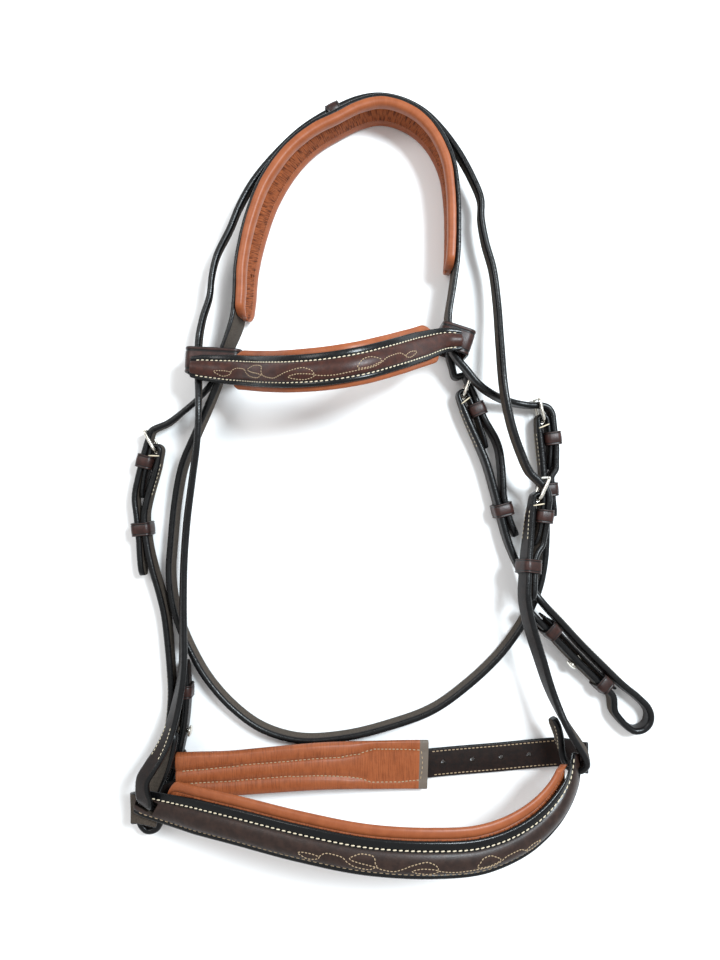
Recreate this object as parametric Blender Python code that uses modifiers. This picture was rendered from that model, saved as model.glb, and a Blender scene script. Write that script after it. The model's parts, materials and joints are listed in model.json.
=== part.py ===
"""Raised padded bridle, laid on its back with its narrow straps standing on their edges.

Metres, +Z up. The table is at z = 0 and +Y runs towards the headpiece. A route is a table
of shares: column and row count PIXEL sizes from the top left of the reference frame, seen
from straight above, the third number counts strap widths from the table up to the strap's
centre, and the fourth is the lean, as a share of a right angle (0 stands on edge, 1 lies
flat with the right-hand side of the run facing up). The browband's widths are counted from
the height at which it rests on its loops.
"""

import math

import bmesh
import bpy
import numpy as np
from mathutils import Matrix, Vector

NAME = "raised_padded_bridle"

# Reference frame: what one pixel covers on the table, and how high the viewpoint is.
PIXEL = 0.0008
EYE_HEIGHT = 0.577
MIDDLE_COLUMN_PIXELS = 360
MIDDLE_ROW_PIXELS = 480
CENTRE_X = 0.0256
CENTRE_Y = 0.0098

# Leather
STRAP_WIDTH = 0.013
STRAP_THICKNESS = 0.0052
BILLET_THICKNESS = 0.0048
TURN_THICKNESS = 0.0034
TAIL_THICKNESS = 0.003
LINING_THICKNESS = 0.0022
SEAM_GAP = 0.00035
PAD_GAP = 0.0009
BIT_GAP = 0.001
BAR_GAP = 0.0007
LAYER_GAP = 0.0006
TIP_LENGTH = 0.008
PUNCH_RADIUS = 0.0018
SLOT_PLAY = 0.0016
SLOT_DEPTH = 0.016

# Buckles
WIRE_RADIUS = 0.00125
TONGUE_RADIUS = 0.0009
FRAME_LENGTH = 0.0175
FRAME_SIDE_PLAY = 0.001
TONGUE_PLAY = 0.0004
GATE_PLAY = 0.0005
TONGUE_OVERHANG = 0.0015
TONGUE_HOOK_START = math.radians(355)
TONGUE_HOOK_END = math.radians(100)
TONGUE_STEPS = 7
TONGUE_POINT_SHARES = (0.35, 0.7, 1)
AXIS_MARK_SIZE = 0.01
TONGUE_SWING = math.radians(6)
FRAME_CORNER = 0.003
TURN_STEPS = 6
HOLE_SPAN_SHARES = (0.18, 0.86)
TAIL_STEPS = 7
BILLET_STEPS = 14
ENTRY_SETTLE = 0.007
CLOSED_REACH = 0.0095

# Keepers
KEEPER_THICKNESS = 0.0015
KEEPER_LENGTH = 0.0105
KEEPER_CORNER = 0.001
KEEPER_PLAY = 0.0008
RUNNER_PLAY = 0.0009
BIT_KEEPER_PLAY = 0.0005
BIT_KEEPER_THICKNESS = 0.0012
TAIL_REACH = 0.021
SKIVE_LENGTH = 0.012
LEG_STEP = 0.007

# Headpiece
CROWN_SPLIT = 0.004
CROWN_THICKNESS = 0.0036
PAD_WIDTH = 0.038
PAD_THICKNESS = 0.0064

# Browband
BROWBAND_WIDTH = 0.0215
BROWBAND_THICKNESS = 0.0052
BROWBAND_PAD_WIDTH = 0.0295
BROWBAND_PAD_THICKNESS = 0.0044
LOOP_THICKNESS = 0.002
LOOP_LENGTH = 0.0195

# Noseband
NOSEBAND_WIDTH = 0.0315
NOSEBAND_THICKNESS = 0.0056
NOSEBAND_PAD_WIDTH = 0.0325
NOSEBAND_PAD_THICKNESS = 0.0046
NOSEBAND_PAD_SHIFT = 0.0042
CHIN_WIDTH = 0.023
CHIN_THICKNESS = 0.003
CHIN_TURN_THICKNESS = 0.0028
CHIN_TAIL_THICKNESS = 0.0022
CHIN_BILLET_THICKNESS = 0.0025
CHIN_PAD_WIDTH = 0.034
CHIN_PAD_END_WIDTH = 0.039
CHIN_PAD_THICKNESS = 0.0062
CHIN_PAD_END_THICKNESS = 0.0045

# Hook studs
STUD_RADIUS = 0.0045
STUD_NECK_RADIUS = 0.0016
STUD_HEAD_HEIGHT = 0.0024
STUD_FOOT_HEIGHT = 0.0008
STUD_FOOT_RADIUS = 0.0032
STUD_CROWN_SHARE = 0.55
STUD_SHOULDER_SHARE = 0.55
STUD_PLAY = 0.0005
SPIN_STEPS = 16
MERGE_DISTANCE = 0.00005

# Fineness of the lofted straps
LONGEST_STEP = 0.02
SHARPEST_TURN = math.radians(13)
DENSE_STEP = 0.0015
STEEP_SHARE = 0.55

# Derived sizes
TONGUE_OFFSET = WIRE_RADIUS + SEAM_GAP + TONGUE_RADIUS
CROWN_WIDTH = 2 * STRAP_WIDTH + CROWN_SPLIT

LINING_OFFSET = (
    STRAP_THICKNESS / 2 + BIT_GAP + BIT_KEEPER_THICKNESS + BIT_KEEPER_PLAY
    + LINING_THICKNESS / 2
)
HOOK_OFFSET = (
    LINING_OFFSET + LINING_THICKNESS / 2 + BIT_GAP + STUD_FOOT_HEIGHT + STRAP_THICKNESS / 2
)

SLOT_SIZES = (STRAP_THICKNESS + 2 * SLOT_PLAY, STRAP_WIDTH + 2 * SLOT_PLAY, SLOT_DEPTH)

# Outlines of the leather sections, as shares of the half width and half thickness
STRAP_SECTION_SHARES = [
    (-0.72, -1), (0.72, -1), (1, -0.42), (1, 0.42), (0.72, 1), (-0.72, 1), (-1, 0.42), (-1, -0.42),
]
RAISED_SECTION_SHARES = [
    (-0.96, -1), (0.96, -1), (1, -0.7), (0.98, -0.35), (0.78, -0.3), (0.66, 0.2), (0.38, 0.85),
    (0, 1), (-0.38, 0.85), (-0.66, 0.2), (-0.78, -0.3), (-0.98, -0.35), (-1, -0.7),
]
PAD_SECTION_SHARES = [
    (-0.7, -0.55), (0, -0.7), (0.7, -0.55), (0.86, -1), (1, -0.35), (1, 0.5), (0.88, 1),
    (0, 1), (-0.88, 1), (-1, 0.5), (-1, -0.35), (-0.86, -1),
]
WIDE_SECTION_SHARES = [
    (-0.9, -1), (0.9, -1), (1, -0.4), (1, 0.4), (0.9, 1), (-0.9, 1), (-1, 0.4), (-1, -0.4),
]
CROWN_PAD_SECTION_SHARES = [
    (-0.74, 0.3), (-0.4, 0.75), (0, 0.85), (0.4, 0.75), (0.74, 0.3), (0.86, 1), (1, 0.45),
    (1, -0.6), (0.84, -1), (-0.84, -1), (-1, -0.6), (-1, 0.45), (-0.86, 1),
]
TIP_PLACE_SHARES = [0, 0.25, 0.6, 1]
TIP_WIDTH_SHARES = [0.42, 0.74, 0.94, 1]

# Routes, read from above
CROWN_ROUTE_SHARES = [
    (226, 352, 1.5, 0.06), (237, 321.8, 1.5, 0.08), (240.2, 298.4, 1.5, 0.1),
    (242.2, 269.4, 1.5, 0.12), (250.9, 228.9, 1.5, 0.14), (265.3, 190.2, 1.5, 0.14),
    (287.6, 156.4, 1.5, 0.1), (311.7, 134.2, 1.5, 0.04), (333.9, 121.6, 1.5, 0),
    (357.1, 110.1, 1.5, 0), (379.3, 105.2, 1.5, 0), (400.6, 109.1, 1.5, 0),
    (421.8, 120.7, 1.5, 0), (438.2, 139, 1.5, 0), (450.8, 166.1, 1.5, 0), (455.6, 198, 1.5, 0),
    (456.6, 233.7, 1.5, 0), (455.6, 262.7, 1.5, 0), (451.8, 291.6, 1.5, 0),
    (447.7, 319.3, 1.5, 0), (449, 344, 1.5, 0),
]
CROWN_PAD_SPAN_SHARES = (0.06, 0.88)
LEFT_CHEEK_BILLET_SHARES = [
    (228.2, 355.2, 0.77, 0), (223, 367, 0.77, 0.05), (213, 382, 0.77, 0.1), (198, 399, 0.77, 0.15),
    (183, 412, 0.77, 0.15), (169, 423, 0.77, 0.05),
]
RIGHT_CHEEK_BILLET_SHARES = [
    (447.5, 347.3, 0.77, 0), (449, 357, 0.77, 0), (452, 368, 0.77, 0), (455, 377, 0.77, 0),
]
THROAT_BILLET_SHARES = [
    (450.1, 344.6, 2.04, 0), (451.5, 350, 2.04, 0), (457, 359, 2.08, 0),
    (465.5, 369, 2.14, 0), (478, 384, 2.05, 0), (494, 395.5, 1.45, 0.03), (511, 402.5, 0.92, 0.04),
    (524, 405, 0.79, 0),
]
THROATLATCH_SHARES = [
    (537.1, 421.3, 0.79, 0), (541, 456, 0.73, 0), (543, 480, 0.73, 0), (545, 510, 0.66, 0.01),
    (545, 535, 0.56, 0.03), (543, 562, 0.54, 0.06), (537, 590, 0.54, 0.06), (522, 622, 0.54, 0.06),
    (498, 655, 0.54, 0.06), (465, 686, 0.54, 0.06), (432, 709, 0.54, 0.06), (392, 724, 0.54, 0.06),
    (345, 735.5, 0.54, 0.04), (299, 738, 0.54, 0.06), (262, 727, 0.54, 0.06),
    (233, 706, 0.54, 0.06), (209, 679, 0.54, 0.06), (193, 652, 0.54, 0.06),
    (181, 625, 0.54, 0.08), (174, 600, 0.54, 0.1), (171, 572, 0.54, 0.1), (173, 540, 0.54, 0.1),
    (177, 500, 0.6, 0.1), (184, 465, 0.8, 0.1), (196, 436, 1.2, 0.08), (208, 409, 1.6, 0.05),
    (219, 382, 1.9, 0), (224.3, 362, 2.04, 0), (224.8, 351.5, 2.04, 0),
]
HEADSTRAP_SHARES = [
    (174, 731, 1.8, 0.5), (171, 741, 1.8, 0.54), (168, 754, 1.78, 0.58),
    (163, 769, 1.68, 0.66), (156.5, 782, 1.6, 0.82), (150, 795, 1.6, 0.95),
    (147.2, 801.5, 1.7, 0.95), (146.4, 803.6, 1.95, 0.5), (146.1, 804.3, 2.3, 0),
    (145.6, 803.4, 2.62, -0.5), (144.3, 799.5, 2.86, -0.85), (142.5, 791, 3.02, -0.66),
    (143, 780, 3.02, -0.6), (150, 768, 2.92, -0.58), (159, 754, 2.66, -0.54),
    (166, 740, 2.4, -0.48), (172, 723, 2.15, -0.42), (177, 703, 1.96, -0.36),
    (181, 682, 1.88, -0.3), (183, 661, 1.82, -0.28), (183, 630, 1.7, -0.26),
    (183, 600, 1.62, -0.24), (184, 560, 1.62, -0.22), (187, 520, 1.72, -0.22),
    (192, 480, 2.05, -0.2), (197, 440, 2.45, -0.18), (198.5, 405, 2.5, -0.12),
    (198.5, 372, 2, -0.04), (199, 340, 1.5, -0.04), (202.8, 318.9, 1.45, -0.08),
    (209.5, 296.8, 1.45, -0.12), (211.7, 277.4, 1.45, -0.12), (216.7, 256.6, 1.45, -0.1),
    (230, 229.5, 1.45, -0.08), (239, 208, 1.45, -0.06), (253.5, 182.5, 1.45, -0.04),
    (278, 153.5, 1.45, -0.02), (303.8, 130.1, 1.45, 0), (334.7, 111.4, 1.45, 0),
    (358.4, 101.4, 1.45, 0), (379.1, 98.4, 1.45, 0), (401, 102.4, 1.45, 0),
    (422.7, 113.3, 1.45, 0), (440.5, 130.2, 1.45, 0), (458.3, 154, 1.45, 0),
    (472.4, 179.5, 1.45, -0.02), (480.6, 200.3, 1.45, -0.02), (480.9, 219, 1.45, 0),
    (485, 242.8, 1.45, 0.02), (492.4, 269.5, 1.5, 0.03), (496.8, 302.5, 1.65, 0.04),
    (500, 345, 2.1, 0.06), (504, 390, 2.6, 0.06), (511, 425, 2.55, 0.06), (520, 452, 2.34, 0.06),
    (529, 472, 2.24, 0.05),
]
LEFT_CHEEK_SHARES = [
    (161.7, 451.7, 0.8, 0), (156, 474, 0.79, 0), (150, 495, 0.78, -0.02),
    (146, 515, 0.78, -0.03), (148.5, 543, 0.76, -0.04), (154.5, 570, 0.74, -0.06),
    (161, 592, 0.66, -0.08), (166, 614, 0.58, -0.06), (169, 640, 0.58, -0.03),
    (171, 664, 0.64, 0), (172.5, 690, 0.66, 0), (171, 715, 0.66, 0), (167, 740, 0.66, 0),
    (161, 763, 0.64, 0), (152, 786, 0.54, 0), (143, 805, 0.53, 0), (141, 819, 0.53, 0),
    (148, 828, 0.53, 0), (158, 826, 0.53, 0), (164, 813, 0.53, 0), (167, 797, 0.53, 0),
]
RIGHT_CHEEK_SHARES = [
    (458.4, 397.8, 0.79, 0), (470, 426, 0.79, 0.03), (478, 444, 0.76, 0.06),
    (486, 464, 0.78, 0.06), (493.5, 490, 0.8, 0.05), (500, 515, 0.8, 0.05),
    (507, 540, 0.82, 0.03), (516, 562, 0.94, 0), (526, 580, 1.25, 0), (536, 595, 1.6, 0),
    (546, 607, 1.62, 0.02), (559, 621, 1.32, 0.06), (577, 641, 0.86, 0.1), (600, 664, 0.66, 0.1),
    (622, 685, 0.6, 0.08), (637, 697, 0.58, 0.06), (648, 710, 0.58, 0.04), (647, 723, 0.58, 0),
    (636, 730, 0.58, 0), (624, 724, 0.58, 0), (613, 710, 0.6, -0.02),
]
HANGER_SHARES = [
    (532.4, 498.1, 2.24, 0.03), (530, 520, 2.26, 0.1), (528, 540, 2.32, 0.19),
    (526, 560, 2.46, 0.25), (525, 580, 2.65, 0.28), (524.5, 598, 2.75, 0.28),
    (528, 618, 2.7, 0.28), (534, 640, 2.6, 0.28), (541, 662, 2.5, 0.26),
    (548, 684, 2.5, 0.18), (557, 706, 2.65, 0.05), (567, 726, 2.9, -0.1),
    (577, 742, 2.95, -0.2), (584, 753, 2.85, -0.2), (586.5, 761, 2.7, -0.12),
    (583, 767, 2.5, 0), (576, 767.5, 2.25, 0.1), (567.5, 763, 1.88, 0.15),
    (562.5, 753.5, 1.64, 0.15), (560.5, 744, 1.62, 0.05), (558, 733, 1.7, -0.1),
    (553, 718, 1.85, -0.22),
]
BROWBAND_SHARES = [
    (190, 365, 0, 1), (216, 367, 0.02, 1), (240, 368.5, 0.7, 1), (262, 369.5, 2.45, 1),
    (290, 369.5, 3.85, 1), (325, 367, 4.45, 1), (362, 361, 4.35, 1), (398, 351.5, 3.25, 1),
    (425, 343.5, 1.45, 1), (447, 338, 0.2, 1), (462, 338, 0.01, 1),
]
NOSEBAND_SHARES = [
    (135.5, 798.5, 2.3, 1), (160, 805, 2.62, 1), (193, 814, 3.5, 1), (233, 824, 4.45, 1),
    (299, 841, 5.55, 1), (365, 854, 6.1, 1), (432, 858, 6.15, 1), (485, 854, 5.7, 0.95),
    (528, 836, 4.85, 0.84), (557, 810, 3.95, 0.67), (572.5, 782, 3.25, 0.5),
    (576.5, 753, 2.85, 0.36),
]
CHIN_STRAP_SHARES = [
    (326, 773, 1.06, 1), (308, 774.5, 1.06, 1), (288, 775, 1.04, 1), (262, 775, 1, 1),
    (232, 778, 1.04, 1), (205, 784, 1.16, 1), (180, 793, 1.2, 1), (158, 802, 1.22, 1),
    (141, 806.5, 1.24, 1), (132.5, 808, 1.5, 0), (138.5, 808.5, 1.9, -1),
    (149, 810.5, 1.97, -1), (159, 813, 2.02, -1),
]
CHIN_BILLET_SHARES = [
    (588, 758, 1.5, 0.6), (581, 757, 1.15, 0.78), (570, 754, 0.78, 0.92), (558, 752, 0.52, 1),
    (541, 753, 0.38, 1), (498, 757, 0.3, 1), (450, 761, 0.3, 1), (410, 765, 0.38, 1),
    (380, 768, 0.62, 1),
]

# Where the keepers, tails and billets lie along the straps, seen from above
KEEPER_PIXELS = {
    "left_cheek": (143.5, 461), "right_cheek": (478.5, 409), "throat": (552, 438),
    "noseband": (541, 516), "chin": (308, 774.5),
}
TAIL_END_PIXELS = {
    "left_cheek": (143, 498), "right_cheek": (487, 448), "throat": (549, 470),
    "noseband": (531, 545), "chin": (280, 775),
}
RUNNER_PIXELS = {
    "left_cheek": (143, 528.5), "right_cheek": (503.5, 509.7), "throat": (552.5, 489),
    "noseband": (526, 566), "chin": (262, 775),
}
BILLET_END_PIXELS = {
    "left_cheek": (140, 576), "right_cheek": (517, 536), "throat": (551.5, 517),
    "noseband": (528.4, 601), "chin": (236, 777.5),
}
BILLET_SIDES = {"left_cheek": 1, "right_cheek": -1, "throat": -1, "noseband": -1, "chin": -1}
FRAME_ANGLES = {
    "left_cheek": math.radians(42), "right_cheek": math.radians(42),
    "throat": math.radians(-7), "noseband": math.radians(17.5), "chin": math.radians(10),
}
# How a billet comes in through its frame: out from the bar and ahead of it, in frame lengths
ENTRY_SHARES = {
    "left_cheek": [(0.405, 0.8), (0.442, 0.38), (0.463, 0)],
    "right_cheek": [(0.405, 0.8), (0.442, 0.38), (0.463, 0)],
    "throat": [(-0.35, 0.72), (-0.05, 0.7), (0.29, 0.56), (0.45, 0.27), (0.463, 0)],
    "noseband": [(-0.17, 0.86), (0.12, 0.64), (0.36, 0.37), (0.463, 0)],
    "chin": [(0.0, 1.15), (0.05, 0.78), (0.22, 0.43), (0.35, 0.15), (0.365, -0.05)],
}
# How far a billet stands off its strap, at the tail's end and at its own end, in strap widths
BULGE_SHARES = {
    "left_cheek": (0.12, 0.3), "right_cheek": (0.42, 0.16), "throat": (0.06, 0.06),
    "noseband": (0.1, 0.06), "chin": (0.12, 0.02),
}

# The bit ends of the cheekpieces: keepers, stud and tip of the hook billet
BIT_SIDES = {"left": -1, "right": 1}
UPPER_BIT_KEEPER_PIXELS = {"left": (184, 690), "right": (548.4, 629)}
LOWER_BIT_KEEPER_PIXELS = {"left": (173, 757), "right": (599, 685)}
STUD_PIXELS = {"left": (182, 730), "right": (571, 663)}
HOOK_TIP_PIXELS = {"left": (183, 660), "right": (530, 604)}
HOOK_RETURN = 0.011
HOOK_STEPS = 9
LINING_ABOVE = 0.013
LINING_BELOW = 0.009

# The crown keeper, the browband's loops and the holes of the chin billet
CROWN_KEEPER_PIXELS = (333.5, 112)
LOOP_PIXELS = {"left": (217, 364), "right": (453.2, 342)}
LOOP_WIDTHS = {"left": 0.0385, "right": 0.0225}
LOOP_HEIGHT = 0.0344
LOOP_FLOOR = 0.003
LOOP_CORNER = 0.006
BROWBAND_FLOOR = LOOP_FLOOR + LOOP_HEIGHT + LOOP_THICKNESS + SEAM_GAP + BROWBAND_THICKNESS / 2
LOOP_ANGLES = {"left": math.radians(-3), "right": math.radians(-18)}
CHIN_HOLE_PIXELS = [(443, 758), (472, 755), (501, 753), (529, 752)]
HEADSTRAP_SLOT_PIXELS = (146.1, 804.2)
HANGER_SLOT_PIXELS = (580, 767.5)
NOTCH_SIZES = (0.018, 0.032, 0.026)
CHIN_SLOT_DROP = 0.006
BROWBAND_PAD_SPAN_SHARES = (0.12, 0.925)
NOSEBAND_PAD_SPAN_SHARES = (0.062, 0.975)
BAND_END_THICKNESS = 0.0034
BAND_RISE_SHARES = (0.06, 0.11, 0.89, 0.95)
CHIN_PAD_ROUTE_SHARES = [
    (176, 775, 1.56, 1), (205, 774.5, 1.58, 1), (230, 774, 1.58, 1), (262, 771.5, 1.6, 1),
    (292, 769, 1.6, 1), (320, 767, 1.55, 1), (345, 766, 1.36, 1), (375, 765.5, 1.06, 1),
    (405, 765, 0.8, 1), (428, 765, 0.68, 1),
]

COLOURS = {
    "brown": ((0.045, 0.022, 0.014, 1), 0.45, 0),
    "tan": ((0.36, 0.12, 0.05, 1), 0.5, 0),
    "steel": ((0.75, 0.74, 0.7, 1), 0.25, 1),
}


class Leather:
    """Thicknesses of a buckled strap, and how far apart its layers lie."""

    def __init__(self, width, strap_thickness, turn, tail, billet):
        self.width = width
        self.strap = strap_thickness
        self.turn = turn
        self.tail = tail
        self.billet = billet
        self.turn_radius = WIRE_RADIUS + BAR_GAP + turn / 2
        self.billet_offset = 2 * self.turn_radius + turn / 2 + SEAM_GAP + billet / 2
        self.closed_offset = strap_thickness / 2 + LAYER_GAP + billet / 2
        self.tail_offset = strap_thickness / 2 + SEAM_GAP + tail / 2
        self.over_tail_offset = self.tail_offset + tail / 2 + LAYER_GAP + billet / 2


NARROW = Leather(
    STRAP_WIDTH, STRAP_THICKNESS, TURN_THICKNESS, TAIL_THICKNESS, BILLET_THICKNESS
)
BROAD = Leather(
    CHIN_WIDTH, CHIN_THICKNESS, CHIN_TURN_THICKNESS, CHIN_TAIL_THICKNESS, CHIN_BILLET_THICKNESS
)


def unit(vector):
    return vector / np.linalg.norm(vector)


def seen_from_above(column, row, height):
    """The point at a height that the viewpoint sees at a column and a row."""
    scale = PIXEL * (1 - height / EYE_HEIGHT)
    x = (column - MIDDLE_COLUMN_PIXELS) * scale - CENTRE_X
    y = (MIDDLE_ROW_PIXELS - row) * scale - CENTRE_Y
    return np.array([x, y, height])


def route_rows(route, floor=0):
    """Points of a route, each with the direction of the strap's width there."""
    points = [seen_from_above(c, r, floor + h * STRAP_WIDTH) for c, r, h, _ in route]
    last = len(points) - 1
    rows = []
    for i, (_, _, _, lean) in enumerate(route):
        along = unit(points[min(i + 1, last)] - points[max(i - 1, 0)])
        flat = np.array([along[0], along[1], 0])
        if np.linalg.norm(flat) < STEEP_SHARE:
            rows.append([points[i], None])
            continue
        left = np.cross([0, 0, 1], unit(flat))
        angle = lean * math.pi / 2
        rows.append([points[i], math.cos(angle) * np.array([0, 0, 1]) + math.sin(angle) * left])
    known = [i for i, row in enumerate(rows) if row[1] is not None]
    for i, row in enumerate(rows):
        if row[1] is None:
            before = max(k for k in known if k < i)
            after = min(k for k in known if k > i)
            share = (i - before) / (after - before)
            row[1] = unit(rows[before][1] * (1 - share) + rows[after][1] * share)
    return rows


class Path:
    """A smooth centreline through rows, with the strap's directions at every mark."""

    def __init__(self, rows):
        points = np.array([p for p, _ in rows])
        ups = np.array([u for _, u in rows])
        first = 2 * points[0] - points[1]
        final = 2 * points[-1] - points[-2]
        ends = np.vstack([first, points, final])
        dense, dense_ups, starts = [], [], []
        for i in range(1, len(ends) - 2):
            span = np.linalg.norm(ends[i + 1] - ends[i])
            count = max(2, int(math.ceil(span / DENSE_STEP)))
            starts.append(len(dense))
            for k in range(count):
                t = k / count
                dense.append(curve_point(ends[i - 1 : i + 3], t))
                dense_ups.append(ups[i - 1] * (1 - t) + ups[i] * t)
        dense.append(points[-1])
        dense_ups.append(ups[-1])
        self.points = np.array(dense)
        self.ups = np.array(dense_ups)
        steps = np.linalg.norm(np.diff(self.points, axis=0), axis=1)
        self.marks = np.concatenate([[0], np.cumsum(steps)])
        self.row_marks = [self.marks[i] for i in starts] + [self.marks[-1]]
        self.length = self.marks[-1]
        self.tangents = np.gradient(self.points, self.marks, axis=0)

    def place(self, mark):
        """Centre, run, width and side directions at a distance along the path."""
        pick = lambda table: np.array([np.interp(mark, self.marks, table[:, k]) for k in range(3)])
        along = unit(pick(self.tangents))
        up = pick(self.ups)
        up = unit(up - along * np.dot(up, along))
        centre = pick(self.points)
        if mark < 0:
            centre = centre + along * mark
        if mark > self.length:
            centre = centre + along * (mark - self.length)
        return centre, along, up, np.cross(along, up)


def curve_point(corners, t):
    """A point on the centripetal curve between the middle two of four corners."""
    a, b, c, d = corners
    knots = [0]
    for p, q in ((a, b), (b, c), (c, d)):
        knots.append(knots[-1] + max(np.linalg.norm(q - p), 1e-9) ** 0.5)
    k0, k1, k2, k3 = knots
    u = k1 + t * (k2 - k1)
    ab = ((k1 - u) * a + (u - k0) * b) / (k1 - k0)
    bc = ((k2 - u) * b + (u - k1) * c) / (k2 - k1)
    cd = ((k3 - u) * c + (u - k2) * d) / (k3 - k2)
    abc = ((k2 - u) * ab + (u - k0) * bc) / (k2 - k0)
    bcd = ((k3 - u) * bc + (u - k1) * cd) / (k3 - k1)
    return ((k2 - u) * abc + (u - k1) * bcd) / (k2 - k1)


def stations(path, start, end, longest=LONGEST_STEP, sharpest=SHARPEST_TURN):
    """Marks along a path, closer together where it bends."""
    chosen = [start]
    _, along, up, _ = path.place(start)
    mark = start
    while mark + DENSE_STEP < end:
        mark += DENSE_STEP
        _, run, width, _ = path.place(mark)
        bend = math.acos(min(1, np.dot(run, along))) + math.acos(min(1, np.dot(width, up))) / 2
        if mark - chosen[-1] >= longest or bend >= sharpest:
            chosen.append(mark)
            along, up = run, width
    if end - chosen[-1] < DENSE_STEP and len(chosen) > 1:
        chosen.pop()
    return chosen + [end]


def beside(path, marks, offsets):
    """Rows beside a path, so far out along its side."""
    rows = []
    for mark, offset in zip(marks, offsets):
        centre, _, up, side = path.place(mark)
        rows.append([centre + side * offset, up])
    return rows


def nearest_mark(path, column, row):
    """The distance along a path at which it passes closest to a place in the reference."""
    gaps = [
        np.linalg.norm((p - seen_from_above(column, row, p[2]))[:2]) for p in path.points
    ]
    return path.marks[int(np.argmin(gaps))]


def collection(name):
    made = bpy.data.collections.new(name)
    bpy.context.scene.collection.children.link(made)
    return made


def material(name):
    known = bpy.data.materials.get(name)
    if known:
        return known
    colour, roughness, metallic = COLOURS[name]
    made = bpy.data.materials.new(name)
    made.use_nodes = True
    shader = made.node_tree.nodes["Principled BSDF"]
    shader.inputs["Base Color"].default_value = colour
    shader.inputs["Roughness"].default_value = roughness
    shader.inputs["Metallic"].default_value = metallic
    return made


def add_object(name, data, colour):
    made = bpy.data.objects.new(name, data)
    data.materials.append(material(colour))
    PARTS.objects.link(made)
    return made


def loft(name, path, marks, widths, thicknesses, section, colour, sides=0, ups=0):
    """A solid strap: one ring of section points at each mark, skinned and capped."""
    mesh = bpy.data.meshes.new(name)
    work = bmesh.new()
    rings = []
    for mark, width, thickness in zip(marks, widths, thicknesses):
        centre, _, up, side = path.place(mark)
        centre = centre + side * sides + up * ups
        ring = [
            work.verts.new(centre + up * (a * width / 2) + side * (b * thickness / 2))
            for a, b in section
        ]
        rings.append(ring)
    for ring, following in zip(rings, rings[1:]):
        for i in range(len(ring)):
            j = (i + 1) % len(ring)
            work.faces.new((ring[i], ring[j], following[j], following[i]))
    work.faces.new(rings[0])
    work.faces.new(rings[-1])
    bmesh.ops.recalc_face_normals(work, faces=work.faces)
    work.to_mesh(mesh)
    work.free()
    mesh.shade_smooth()
    mesh.set_sharp_from_angle(angle=math.radians(40))
    return add_object(name, mesh, colour)


def tapered(marks, start_tip, end_tip, width):
    """Widths that narrow to a rounded tip at either end."""
    places = np.array(TIP_PLACE_SHARES) * TIP_LENGTH
    shares = np.ones(len(marks))
    if start_tip:
        shares = shares * np.interp(np.array(marks) - marks[0], places, TIP_WIDTH_SHARES)
    if end_tip:
        shares = shares * np.interp(marks[-1] - np.array(marks), places, TIP_WIDTH_SHARES)
    return shares * width


def with_tips(marks, start_tip, end_tip):
    """Adds the stations that a rounded tip needs."""
    places = np.array(TIP_PLACE_SHARES) * TIP_LENGTH
    wanted = set()
    if start_tip:
        wanted |= {marks[0] + p for p in places}
    if end_tip:
        wanted |= {marks[-1] - p for p in places}
    kept = [m for m in marks if all(abs(m - w) > DENSE_STEP for w in wanted)]
    return sorted(set(kept) | wanted)


def along_strap(marks, size):
    """A size at every mark; the size is one number, or places with their sizes."""
    if isinstance(size, tuple):
        return np.interp(marks, size[0], size[1])
    return np.full(len(marks), size)


def strap(name, path, thickness, width=STRAP_WIDTH, start=0, end=None, tips=(False, False),
          colour="brown", section=STRAP_SECTION_SHARES, sides=0, ups=0):
    """A strap along a path, with its width and thickness the same or changing on the way."""
    marks = stations(path, start, path.length if end is None else end)
    marks = with_tips(marks, *tips)
    widths = tapered(marks, *tips, along_strap(marks, width))
    thicknesses = along_strap(marks, thickness)
    return loft(name, path, marks, widths, thicknesses, section, colour, sides, ups)


def frame_matrix(centre, x, y, z):
    turn = Matrix((x, y, z)).transposed().to_4x4()
    return Matrix.Translation(Vector(centre)) @ turn


def rounded_corners(low_x, high_x, low_y, high_y, radius, steps):
    """Corners of a rounded rectangle, as points in order."""
    points = []
    centres = [
        (high_x - radius, high_y - radius, 0),
        (low_x + radius, high_y - radius, 1),
        (low_x + radius, low_y + radius, 2),
        (high_x - radius, low_y + radius, 3),
    ]
    for x, y, quarter in centres:
        for k in range(steps + 1):
            angle = (quarter + k / steps) * math.pi / 2
            points.append((x + radius * math.cos(angle), y + radius * math.sin(angle)))
    return points


def curve_object(name, splines, colour, flat, closed=True):
    data = bpy.data.curves.new(name, "CURVE")
    data.dimensions = "2D" if flat else "3D"
    for points in splines:
        spline = data.splines.new("POLY")
        spline.points.add(len(points) - 1)
        for place, point in zip(spline.points, points):
            place.co = (*point, 0, 1) if len(point) == 2 else (*point, 1)
        spline.use_cyclic_u = closed
    return add_object(name, data, colour)


def keeper(name, path, mark, low, high, width=STRAP_WIDTH, length=KEEPER_LENGTH,
           play=KEEPER_PLAY, wall=KEEPER_THICKNESS):
    """A leather loop round layers that span from low to high along the path's side."""
    centre, along, up, side = path.place(mark)
    low_x, high_x = low - play, high + play
    half = width / 2 + play
    inner = rounded_corners(low_x, high_x, -half, half, KEEPER_CORNER, 1)
    outer = rounded_corners(
        low_x - wall, high_x + wall, -half - wall, half + wall, KEEPER_CORNER + wall, 2
    )
    made = curve_object(name, [outer, inner], "brown", flat=True)
    made.data.fill_mode = "BOTH"
    made.data.extrude = length / 2
    made.matrix_world = frame_matrix(centre, side, up, -along)
    return made


def box(name, centre, x, y, size_x, size_y, size_z):
    """A block whose X and Y run along two directions at right angles."""
    mesh = bpy.data.meshes.new(name)
    work = bmesh.new()
    bmesh.ops.create_cube(work, size=1)
    work.to_mesh(mesh)
    work.free()
    scale = Matrix.Diagonal((size_x, size_y, size_z, 1))
    return add_cutter(name, mesh, frame_matrix(centre, x, y, np.cross(x, y)) @ scale)


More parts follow.
